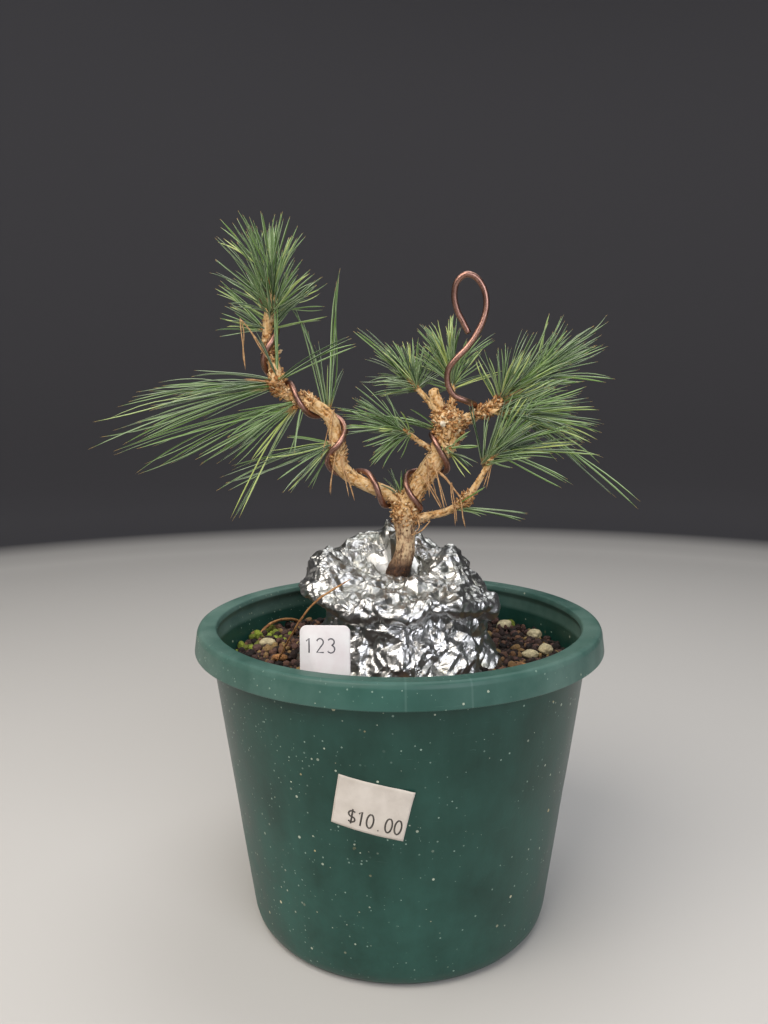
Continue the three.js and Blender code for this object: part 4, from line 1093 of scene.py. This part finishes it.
def root_mound():
    """The soil in the foil's bowl: a dome with lumps, and moss cushions pressed on it round the trunk."""
    profile = np.array([
        (0, SOIL - 5), (40, SOIL - 5), (33, SOIL + 12), (30, SOIL + 18), (24, TREE - 11), (15, TREE - 4),
        (9, TREE - 0.9), (5, TREE + 0.2), (0, TREE + 0.4),
    ])

    def lumpy(points):
        rough = smooth(TREE - 9, TREE - 3, points[..., 2:3])
        points = points.copy()
        points[..., 2:3] += rough * (0.9 * lumps(points, 4, 51) + 0.5 * lumps(points, 1.8, 52))[..., None]
        return points

    points, faces, _ = lathe(divided(profile, 0.9), 120, lumpy)
    build("mound_soil", points, faces, "moss", EARTH, replaces=["root_mound"])
    count = 420
    beside_foot = random.random(count) < 0.7
    bearing = np.where(beside_foot, random.normal(1.0, 0.5, count), random.uniform(-math.pi, math.pi, count))
    radius = 5 + 5.5 * random.random(count) ** 0.8
    height = TREE + 0.4 - 0.04 * np.maximum(radius - 6, 0) ** 2 + 1.4 * random.random(count)
    places = turned(radius, bearing, height)
    stretch = random.uniform(0.4, 1.0, count)[:, None] * random.uniform(0.7, 1.3, (count, 3))
    points, faces = scattered(ball(1), places, stretch, 0.22)
    number = np.repeat(random.random(count), len(points) // count)
    build("mound_moss", points, faces, "moss", MOSS, layers={"grain": number}, flat=True)


# ---- Wood ----

# Each limb: its radius at the start and the end, and the points of its middle line from the mound's top.
LIMBS = {
    "trunk": (5.6, 4.5, [
        (-6, 1, -20), (-2.8, 0, 0), (0.2, 0, 7), (3.3, 0, 15), (3.9, 0, 24), (3.3, 0, 34), (3.4, 0, 41),
    ]),
    "left_branch": (3.7, 2.1, [
        (4, 0, 37), (-1, 0, 43.5), (-8, -1, 47.5), (-16.5, -2, 51.2), (-24.5, -3, 56), (-29.5, -3, 63),
        (-30, -3, 73), (-33, -3, 84), (-41, -3, 90.5), (-51, -2, 94), (-58.5, -1, 99.5), (-60, 0, 108),
        (-62.5, 1, 117), (-63.5, 1, 126), (-62, 1, 135), (-61, 1, 147),
    ]),
    "leader": (4.8, 5.8, [
        (3.4, 0, 36), (7.6, 0, 47), (12.6, 0, 53.5), (17, -1, 60), (21, -1, 66.5), (24.8, -1, 74),
        (24.5, -1, 87),
    ]),
    "cut_stub": (3, 2.4, [(23, -1, 82), (19.5, -2, 91), (17.5, -2, 98)]),
    "upper_branch": (2.6, 1.3, [
        (25, -1, 79), (34, 0, 82.6), (43.6, 2, 87), (52, 4, 91.6), (60.5, 6, 95.7), (66, 8, 101),
    ]),
    "side_twig": (1.6, 1.1, [(42, 2, 86), (50, -3, 86.5), (57, -7, 85)]),
    "lower_branch": (2.1, 1.2, [
        (4, 0, 31.5), (12, -2, 34), (25, -6, 38), (33, -9, 43.5), (40.5, -12, 55.5), (46, -14, 66),
    ]),
    "left_twig": (1.3, 1, [(19, -1, 66), (11, -6, 72), (4, -9, 77)]),
    "back_twig": (1.8, 1.2, [(23, 0, 83), (15, 9, 93), (9, 14, 100)]),
    "top_twig": (1.8, 1.2, [(25, 1, 82), (28, 9, 93), (28, 13, 103)]),
}
# Swollen joints: the middle of each and how far it reaches.
KNUCKLES = [
    ((-59, -1, 100), 7), ((24.6, -1, 80), 10), ((-30, -3, 67), 6), ((-45, -2.5, 92), 6), ((4, 0, 38), 8),
    ((51, 4, 91), 5), ((-61, 1, 118), 6), ((43, 2, 87), 5), ((33, -9, 44), 5),
]


def limb_lines(step):
    """Each limb's middle line, with its radius at each point."""
    lines = {}
    for name, (start, end, points) in LIMBS.items():
        line, _ = smooth_line(points, step)
        lines[name] = (line, np.linspace(start, end, len(line)))
    return lines


def knuckle_share(points):
    """How much each point, in the tree's frame, belongs to a swollen joint, from 0 to 1."""
    share = np.zeros(len(points))
    for centre, reach in KNUCKLES:
        away = np.linalg.norm(points - np.array(centre), axis=1)
        share = np.maximum(share, np.exp(-((away / reach) ** 2)))
    return share


def wood():
    """The whole tree as one skin over its limbs, then cracked into plates that run along each limb.

    The limbs are rods melted together. A plate stands where the creased noise, read on
    (outward, sideways, 0.3 x distance along), is low, and a crack lies where it is high.
    """
    parts = []
    for line, radius in limb_lines(1.0).values():
        swell = 1 + 0.14 * lumps(line, 7, 61) + 0.24 * knuckle_share(line)
        share = np.linspace(0, 1, len(line))
        swell = swell * np.sqrt(np.clip(18 * (1 - share) + 0.25, 0, 1))
        parts.append(rod(line, radius * swell, 16))
    points, faces, _ = joined(parts)
    raw = build("raw_wood", points, faces, "bark", BARK)
    melt = raw.modifiers.new("melt", "REMESH")
    melt.mode = "VOXEL"
    melt.voxel_size = 0.00046
    ease = raw.modifiers.new("ease", "SMOOTH")
    ease.iterations = 3
    mesh, points, outward = finished(raw)
    count = len(mesh.polygons)
    corners = np.zeros(len(mesh.loops), np.int32)
    mesh.loops.foreach_get("vertex_index", corners)
    faces = corners.reshape(count, -1)
    bpy.data.objects.remove(raw)

    samples, frames = [], []
    for line, _ in limb_lines(1.0).values():
        front, side = beside(line)
        samples.append(np.c_[line, np.arange(len(line))])
        frames.append(np.stack([front, side], axis=1))
    samples, frames = np.concatenate(samples), np.concatenate(frames)
    near = np.concatenate([
        np.linalg.norm(block[:, None] - samples[None, :, :3], axis=-1).argmin(axis=1)
        for block in np.array_split(points, 60)
    ])
    offset = points - samples[near, :3]
    plate_place = np.c_[np.einsum("ij,ikj->ik", offset, frames[near]), samples[near, 3] * 0.3]
    knuckle = knuckle_share(points)
    blend = points[:, 2] + 3 * lumps(points, 8, 62)
    old = 1 - 0.5 * smooth(5, 18, blend) - 0.5 * smooth(27, 40, blend)
    plates = facets(plate_place + 0.5 * lumps(points, 3, 63)[:, None], 1.5, 64)
    small = facets(points, 1.3, 65)
    relief = 1 - smooth(0.35, 0.85, 0.62 * plates + 0.38 * small)
    depth = 0.42 + 0.1 * old + 0.95 * knuckle * (1 - 0.6 * smooth(0, 0.5, old))
    rise = depth * (relief - 0.55) + 0.35 * knuckle * lumps(points, 2.2, 66) + 0.15 * lumps(points, 0.9, 67)
    points = points + outward * rise[:, None]
    build(
        "tree_wood", points + [0, 0, TREE], faces, "bark", BARK,
        layers={"age": old, "deep": np.clip(relief + 0.12 * lumps(points, 0.8, 68), 0, 1)},
        replaces=["trunk_and_branches"],
    )
    return points, outward, knuckle, samples, near


def flakes(points, outward, knuckle, samples, near):
    """Papery bark scales: thin six-sided plates with one end lifted, thickest on the swollen joints."""
    ahead = np.gradient(samples[:, :3], axis=0)[near]
    high = smooth(20, 34, points[:, 2])
    likely = (0.05 + knuckle**1.3) * high
    count = 2300
    pick = random.choice(len(points), count, p=likely / likely.sum())
    ring = TAU * np.arange(6) / 6
    plate = np.stack([np.cos(ring), 0.55 * np.sin(ring), 0.35 * np.cos(ring) ** 2], axis=1)
    plate = np.concatenate([plate, [[0, 0, 0.12], [0, 0, -0.06]]])
    around = np.arange(6)
    after = (around + 1) % 6
    faces = np.concatenate([
        np.stack([around, after, np.full(6, 6)], axis=1), np.stack([after, around, np.full(6, 7)], axis=1)
    ])
    size = random.uniform(0.5, 1.7, count) * (0.6 + 0.6 * knuckle[pick])
    up = outward[pick]
    along = unit(ahead[pick] + random.normal(size=(count, 3)) * 0.9)
    across = unit(np.cross(up, along))
    along = np.cross(across, up)
    tilt = random.uniform(0.1, 1.0, count)[:, None]
    lifted = along * np.cos(tilt) + up * np.sin(tilt)
    axes = np.stack([lifted, across, np.cross(lifted, across)], axis=1)
    local = plate[None] * random.uniform(0.75, 1.3, (count, 8, 1))
    places = points[pick] + up * (0.3 + 0.5 * size[:, None] * np.sin(tilt))
    spots = places[:, None] + (local * size[:, None, None]) @ axes
    first = (np.arange(count) * 8)[:, None, None]
    tint = np.repeat(np.clip(random.normal(0.55, 0.27, count), 0, 1), 8)
    build(
        "bark_flakes", spots.reshape(-1, 3) + [0, 0, TREE], (faces[None] + first).reshape(-1, 3), "bark",
        FLAKE, layers={"tint": tint},
    )


# ---- Wire ----

# Each coil's limb, where it starts and ends along it, its pitch, where it faces the front, and its hand.
LEFT_COIL = dict(limb="left_branch", start=142, end=6, pitch=32, front=19, hand=1)
LEADER_COIL = dict(limb="leader", start=5, end=50, pitch=26, front=36, hand=-1)
BEHIND_FORK = [(-1, 8, 35), (5, 9, 35)]
FREE_END = [
    (29, 9, 80), (35.5, 8, 84), (39, 2, 88), (34, -5, 91.5), (27.5, -7, 94.5), (24.4, -8, 100),
    (24.6, -9, 107), (28.3, -10, 112), (33, -10, 116.7), (37.6, -10, 123), (41, -10, 130),
    (42.4, -10, 137), (41.2, -10, 144),
    (37.4, -10, 149.5), (32.8, -10, 151), (28.6, -9, 148), (27.3, -8, 142), (28.7, -7, 135), (32, -6, 128.7),
    (34.5, -5.5, 124),
]


def coil(limb, start, end, pitch, front, hand):
    """Spots of a coil round a limb: turn = hand 2 pi (distance - front) / pitch, just outside the bark."""
    thick, thin, points = LIMBS[limb]
    line, length = smooth_line(points, 0.5)
    marks = np.linspace(start, end, int(math.ceil(abs(end - start) / (pitch / 9))) + 1)
    share = np.minimum(marks / length, 1)
    spot = share * (len(line) - 1)
    outward, sideways = beside(line)
    middle, outward, sideways = (
        np.stack([np.interp(spot, np.arange(len(line)), row[:, k]) for k in range(3)], axis=1)
        for row in (line, outward, sideways)
    )
    turn = (hand * TAU * (marks - front) / pitch)[:, None]
    radius = (thick + (thin - thick) * share + WIRE_RADIUS + 0.3)[:, None]
    return middle + radius * (outward * np.cos(turn) + sideways * np.sin(turn))


def training_wire():
    """One wire down the left branch, behind the fork, up the leader and round a free loop.

    Spots nearer a limb than bark, wire and clearance are pushed away from it, round after round.
    """
    spots = np.concatenate([coil(**LEFT_COIL), BEHIND_FORK, coil(**LEADER_COIL), FREE_END])
    cores = []
    for line, radius in limb_lines(8).values():
        cores += [(a, b, max(r, s)) for a, b, r, s in zip(line, line[1:], radius, radius[1:])]
    for _ in range(12):
        for a, b, radius in cores:
            share = np.clip(((spots - a) @ (b - a)) / ((b - a) @ (b - a)), 0, 1)[:, None]
            away = spots - (a + (b - a) * share)
            distance = np.linalg.norm(away, axis=1, keepdims=True)
            spots = spots + away / distance * np.maximum(radius + WIRE_RADIUS + 0.6 - distance, 0)
    line, length = smooth_line(spots, 0.7)
    radius = np.full(len(line), float(WIRE_RADIUS))
    radius[[0, -1]] = 0.85 * WIRE_RADIUS
    points, faces, uv = rod(line, radius, 18)
    uv = uv * [1, length / 60]
    build("wire_run", points + [0, 0, TREE], faces, "wire", WIRE, uv=uv, replaces=["training_wire"])


# ---- Needles ----

# Each tuft: where its shoot starts and its axis, the shoot's length, the stretch back from its tip that
# needles grow on, their reach and spread, how many pairs grow at random, and the longest needles' tips.
TUFTS = {
    "apex_tuft": ((-61, 1, 147), (0, 0, 1), 7, 27, 36, 1.5, 84, [
        (-54, -4, 181.5), (-85.4, 4, 180), (-62, 8, 179),
    ]),
    "apex_left_tuft": ((-63.5, 1, 126), (-1, -0.3, 0.5), 3, 4, 30, 0.7, 9, []),
    "apex_right_tuft": ((-62, 1, 134), (1, -0.4, 0.6), 3, 4, 31, 0.8, 9, []),
    "knuckle_tuft": ((-59, -1, 101), (0.2, -1, 0.6), 4, 3, 28, 0.9, 2, [
        (-57, -8, 141), (-19.5, -12, 119), (-98, -14, 104),
    ]),
    "long_spray": ((-59, -1, 100), (-1, 0, -0.1), 6, 9, 62, 0.42, 8, [
        (-149.6, -4, 82.7), (-145, 12, 78), (-142.8, 14, 90), (-132.7, 6, 94.8), (-148, -16, 70),
        (-120, -10, 88), (-126, 4, 74),
    ]),
    "low_spray": ((-47, -2, 92), (-0.75, -0.3, -0.65), 5, 8, 46, 0.62, 8, [
        (-134, 10, 56), (-137, -12, 67), (-99.5, 4, 60.5), (-81.8, -12, 35.7), (-90.8, 18, 66),
        (-112, -6, 62),
    ]),
    "upright_needles": ((-34, -3, 85), (0.2, 0.3, 1), 3, 3, 34, 0.7, 2, [
        (-27.3, 0, 155.8), (-51.3, 8, 141), (-32, 6, 121.7),
    ]),
    "under_branch_tuft": ((-30, -3, 72), (-0.9, -0.3, -0.5), 5, 5, 34, 0.8, 10, [
        (-68.6, -8, 60), (-90, -4, 48.4), (-84.6, 10, 57.4),
    ]),
    "cross_needles": ((22, -1, 77), (-1, -0.3, 0.2), 3, 2, 28, 0.5, 2, [(-29.3, -8, 88.7)]),
    "back_tuft": ((9, 14, 100), (-0.5, 0.3, 0.8), 6, 10, 25, 1.35, 58, [
        (-21.9, 18, 127.4), (-19.2, 22, 102), (3, 14, 122),
    ]),
    "top_tuft": ((28, 13, 103), (0, 0.2, 1), 7, 14, 28, 1.3, 60, [
        (14, 16, 129), (27.4, 14, 134.7), (49.4, 20, 123.6),
    ]),
    "right_end_tuft": ((66, 8, 101), (0.85, 0, 0.5), 6, 22, 38, 0.95, 60, [
        (75.5, 6, 134.4), (105.7, 12, 134.2), (104, 2, 118), (108.7, 4, 102), (84, 10, 131), (97, -2, 127),
    ]),
    "right_middle_tuft": ((51, 4, 91), (0.4, -0.4, 1), 4, 6, 31, 1.0, 30, []),
    "right_low_spray": ((57, -7, 85), (1, -0.2, -0.1), 6, 16, 40, 0.85, 50, [
        (97.3, -10, 87), (95.7, 0, 72), (117.2, -12, 38.8), (102.5, 6, 60), (101, -6, 80),
    ]),
    "lower_end_tuft": ((46, -14, 66), (0.7, -0.2, 0.6), 6, 14, 34, 1.0, 42, [
        (81, -16, 52.3), (100, -10, 64), (92, -8, 74),
    ]),
    "lower_needles": ((27, -6, 39), (0.6, -0.8, 0.3), 3, 2, 26, 0.6, 2, [(63, -14, 37)]),
    "left_twig_tuft": ((4, -9, 77), (-0.8, -0.4, 0.2), 5, 9, 27, 1.15, 36, [
        (-23.3, -14, 87.7), (-13.7, -12, 60.4), (-20.2, -10, 99),
    ]),
    "fork_tuft": ((2, 0, 43), (-0.2, -0.3, 1), 3, 3, 15, 1, 6, []),
    "front_tuft": ((22, -1, 68), (0.8, -1, -0.1), 5, 4, 22, 1, 9, []),
}
NEEDLE_RADIUS = 0.42


def aims(axis, tilt, lengths):
    """Random arrows about an axis, each leaned from it by its tilt towards an even choice of sides."""
    side = unit(np.cross(axis, [0.31, 0.86, 0.41]))
    up = np.cross(axis, side)
    turn = TAU * random.random(len(tilt))[:, None]
    arrow = axis * np.cos(tilt)[:, None] + (side * np.cos(turn) + up * np.sin(turn)) * np.sin(tilt)[:, None]
    return arrow * lengths[:, None]


def needles(roots, tips, tint, radius=NEEDLE_RADIUS):
    """Needles as half-round tapering rods: line = root to tip by t, bowed by 4 t (1 - t) x a small bend."""
    count = len(roots)
    t = np.linspace(0, 1, 11)[None, :, None]
    reach = tips - roots
    length = np.linalg.norm(reach, axis=1, keepdims=True)
    guide = unit(random.normal(size=(count, 3)))
    outward = unit(np.cross(reach, guide))
    sideways = np.cross(unit(reach), outward)
    bow = (outward * random.normal(0, 0.022, (count, 1)) + np.array([0, 0, 0.028])) * length
    lines = roots[:, None] + reach[:, None] * t + bow[:, None] * 4 * t * (1 - t)
    lines = lines + (sideways * random.normal(0, 0.012, (count, 1)) * length)[:, None] * np.sin(TAU * t)
    t = t[..., 0]
    taper = np.minimum(1, 0.7 + 6 * t) * np.clip((1 - t) / 0.2, 0, 1) ** 0.6
    width = radius * random.uniform(0.8, 1.15, (count, 1)) * np.maximum(taper, 0.06)
    steps = lines.shape[1]
    outward = np.repeat(outward[:, None], steps, axis=1)
    sideways = np.repeat(sideways[:, None], steps, axis=1)
    points, faces, uv = tubes(lines, width, outward, sideways, 5, squash=0.62)
    return points, faces, uv, np.repeat(tint, len(points) // count)


def tuft(name, start, axis, stub, stretch, reach, spread, pairs, tips):
    """Pairs of needles on a short shoot, some of which follow the long tips.

    The others lean out by spread x (0.4 + 0.6 x the root's share of the way back from the tip), give or take.
    """
    shoot = unit(np.array(axis, float))
    tip = np.array(start, float) + shoot * stub
    back = random.random(pairs) ** 0.8
    roots = tip - shoot * (back * stretch)[:, None] + random.normal(0, 0.5, (pairs, 3))
    tilt = spread * (0.4 + 0.6 * back) * random.uniform(0.3, 1.15, pairs)
    ends = roots + aims(shoot, tilt, reach * random.uniform(0.66, 1.04, pairs))
    for end in tips:
        few = 2
        root = tip - shoot * random.uniform(0, 6, (few, 1)) + random.normal(0, 0.4, (few, 3))
        share = np.array([1.0, *random.uniform(0.78, 0.97, few - 1)])[:, None]
        drift = random.normal(0, 3.5, (few, 3)) * [[0], [1]]
        roots = np.concatenate([roots, root])
        ends = np.concatenate([ends, root + (np.array(end) - root) * share + drift])
    count = len(roots)
    apart = unit(np.cross(ends - roots, random.normal(size=(count, 3))))
    apart = apart * random.uniform(1.2, 4.2, (count, 1))
    twin = roots + (ends - roots) * random.uniform(0.9, 1.0, (count, 1)) + apart
    tint = np.clip(random.normal(0.36, 0.36, count), 0, 1)
    roots = np.concatenate([roots, roots + random.normal(0, 0.2, roots.shape)])
    points, faces, uv, tint = needles(roots, np.concatenate([ends, twin]), np.tile(tint, 2))
    build(
        f"{name}_needles", points + [0, 0, TREE], faces, "needle", NEEDLE, uv=uv, layers={"tint": tint},
        replaces=[name],
    )


def shoots():
    """Short shoots under the tufts: rods with rings of old scales, each ending in a small blunt bud."""
    parts = []
    for start, axis, stub, *_ in TUFTS.values():
        line = np.array(start) + unit(np.array(axis, float)) * np.linspace(-2, stub + 1, 46)[:, None]
        share = np.linspace(0, 1, 46)
        radius = 1.15 - 0.25 * share + 0.2 * np.abs(np.sin(0.7 * (stub + 3) * math.pi * share))
        radius = radius * np.sqrt(np.clip(10 * (1 - share), 0.02, 1))
        line = line + 0.35 * shaken(line, 4)
        parts.append(rod(line, radius, 12, guide=np.array([0.37, -0.66, 0.5])))
    points, faces, _ = joined(parts)
    tint = 0.35 + 0.3 * lumps(points, 1.1, 71)
    build("shoot_stems", points + [0, 0, TREE], faces, "bark", FLAKE, layers={"tint": tint})


# Dead needles caught in the branches: the two ends of each.
DEAD_NEEDLES = [
    ((-62, -7, 112), (-75, -9, 131)), ((-75, -8, 131), (-73, -9, 107)), ((-31, -8, 88), (-38, -8, 62)),
    ((-30, -8, 70), (-33, -8, 46)), ((-28, -7, 66), (-24, -8, 45)), ((12, -8, 55), (22, -9, 38)),
    ((17, -9, 62), (24, -11, 40)), ((30, -12, 46), (33, -12, 30)), ((26, -9, 52), (28, -11, 31)),
    ((14, -7, 64), (19, -9, 45)), ((47, -13, 68), (41, -14, 50)), ((-55, -6, 100), (-74, -8, 103)),
]


def dead_needles():
    """Dry needles in pairs that hang where they were caught."""
    roots = np.array([start for start, _ in DEAD_NEEDLES], float)
    tips = np.array([end for _, end in DEAD_NEEDLES], float)
    twins = tips + random.normal(0, 1.6, tips.shape)
    roots = np.concatenate([roots, roots + 0.3])
    points, faces, uv, _ = needles(roots, np.concatenate([tips, twins]), np.zeros(len(roots)), 0.38)
    build("dead_needles", points + [0, 0, TREE], faces, "straw", DRY_NEEDLE, uv=uv)


# Thin dry twiglets on the trunk and the lower branch, from the mound's top.
TWIGLETS = [
    [(19.5, -3, 57.9), (24.3, -6, 53.2), (30.4, -9, 45.1)],
    [(7.0, -4, 25.6), (11.3, -8, 28.2), (15.7, -10, 33.5)],
    [(9.5, -4, 34.6), (10.4, -6, 29.9), (7.9, -7, 26.6)],
]


def twiglets():
    """Dry twiglets: thin rods that narrow to the end, with small swellings."""
    parts = []
    for spots, thick in zip(TWIGLETS, (0.75, 0.45, 0.4)):
        line, _ = smooth_line(spots, 0.6)
        line = line + 0.2 * shaken(line, 3)
        radius = thick * (1 - 0.4 * np.linspace(0, 1, len(line))) * (1 + 0.2 * lumps(line, 1.6, 7))
        parts.append(rod(line, radius, 8, guide=np.array([0.3, -0.8, 0.5])))
    points, faces, _ = joined(parts)
    build("dry_twiglets", points + [0, 0, TREE], faces, "bark", DRY_NEEDLE)


RESIN_PLACE = np.array([21.8, -10, 80.8])


def resin():
    """A dried drop of resin on the leader's knuckle: a ball pulled flat and dented."""
    points, faces = ball(3)
    points = points * (1 + 0.25 * lumps(points, 0.7, 5))[:, None] * np.array([1.4, 0.9, 1.3])
    build("resin_drop", points + RESIN_PLACE + [0, 0, TREE], faces, "bark", RESIN)


# ---- Studio ----


# The studio's wall radius, the radius of the curve between floor and wall, and the wall's height.
WALL, COVE, CEILING = 1200, 140, 1700
# The camera's place in metres, its tilt down and its roll in radians, and its lens in millimetres.
EYE, TILT_DOWN, ROLL, LENS = (-0.00688, -0.4069, 0.2593), 0.1333, -0.0069, 28.72


def area_light(name, place, target, size, power, colour):
    """A soft square light that faces its target, in metres and watts."""
    data = bpy.data.lights.new(name, "AREA")
    data.shape = "RECTANGLE"
    data.size, data.size_y = size
    data.energy = power
    data.color = srgb(colour)[:3]
    light = bpy.data.objects.new(name, data)
    bpy.context.scene.collection.objects.link(light)
    back = unit(np.array(place) - np.array(target))
    side = unit(np.cross([0, 0, 1], back))
    up = np.cross(back, side)
    light.matrix_world = Matrix([[side[i], up[i], back[i], place[i]] for i in range(3)] + [[0, 0, 0, 1]])


def studio():
    """A pale floor that curves up into a plain darker wall all round, and soft lights."""
    profile = rounded([(0, 0, 0), (WALL, 0, COVE), (WALL, CEILING, 0), (0, CEILING + 1, 0)])
    profile = divided(profile[:-1], 60)
    profile = np.concatenate([[[0, -0.2]], profile[1:] - [0, 0.2], [[0, CEILING + 1]]])
    sides = 96
    points, faces, _ = lathe(profile, sides)
    walls = [faces[0][:, ::-1], faces[1][:sides, ::-1]]
    material, tree, _, where = finish("studio_paper", 0.85)
    height = add(tree, "SeparateXYZ", [where.outputs["Object"]]).outputs["Z"]
    rise = add(tree, "MapRange", (height, 0.0, 0.025))
    cover(material, add(tree, "Mix", {0: rise, 6: srgb("#c4c1bd"), 7: srgb("#38373b")}, data_type="RGBA"))
    floor = build("studio_floor", points[:-1], walls, "pot", material)
    floor.parent = None
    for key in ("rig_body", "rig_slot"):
        del floor[key]
    area_light("key", (-0.5, -0.6, 1.1), (0, 0, 0.2), (0.95, 0.95), 15, "#fff8ef")
    area_light("fill", (0.45, -0.9, 0.55), (0, 0, 0.17), (0.7, 0.6), 6, "#f5f7ff")
    area_light("top", (0.2, 0.3, 1.3), (0, 0, 0.2), (0.9, 0.7), 5, "#ffffff")
    world = bpy.data.worlds.new("room")
    world.use_nodes = True
    background = world.node_tree.nodes["Background"]
    background.inputs["Color"].default_value = (0.8, 0.85, 0.9, 1)
    background.inputs["Strength"].default_value = 0.75
    bpy.context.scene.world = world
    bpy.context.scene.view_settings.view_transform = "Standard"


def camera():
    """A phone's view from in front and a little above."""
    data = bpy.data.cameras.new("camera")
    data.sensor_width = 36
    data.lens = LENS
    data.clip_start = 0.02
    eye = bpy.data.objects.new("camera", data)
    bpy.context.scene.collection.objects.link(eye)
    turn = Matrix.Rotation(math.pi / 2 - TILT_DOWN, 4, "X") @ Matrix.Rotation(ROLL, 4, "Z")
    eye.matrix_world = Matrix.Translation(EYE) @ turn
    bpy.context.scene.camera = eye


camera()
studio()
nursery_pot()
price_label()
label_price()
plant_tag()
potting_mix()
grains()
stones()
bark_chip()
litter()
foil_wrap()
root_mound()
flakes(*wood())
training_wire()
for tuft_name, tuft_facts in TUFTS.items():
    tuft(tuft_name, *tuft_facts)
shoots()
dead_needles()
twiglets()
resin()
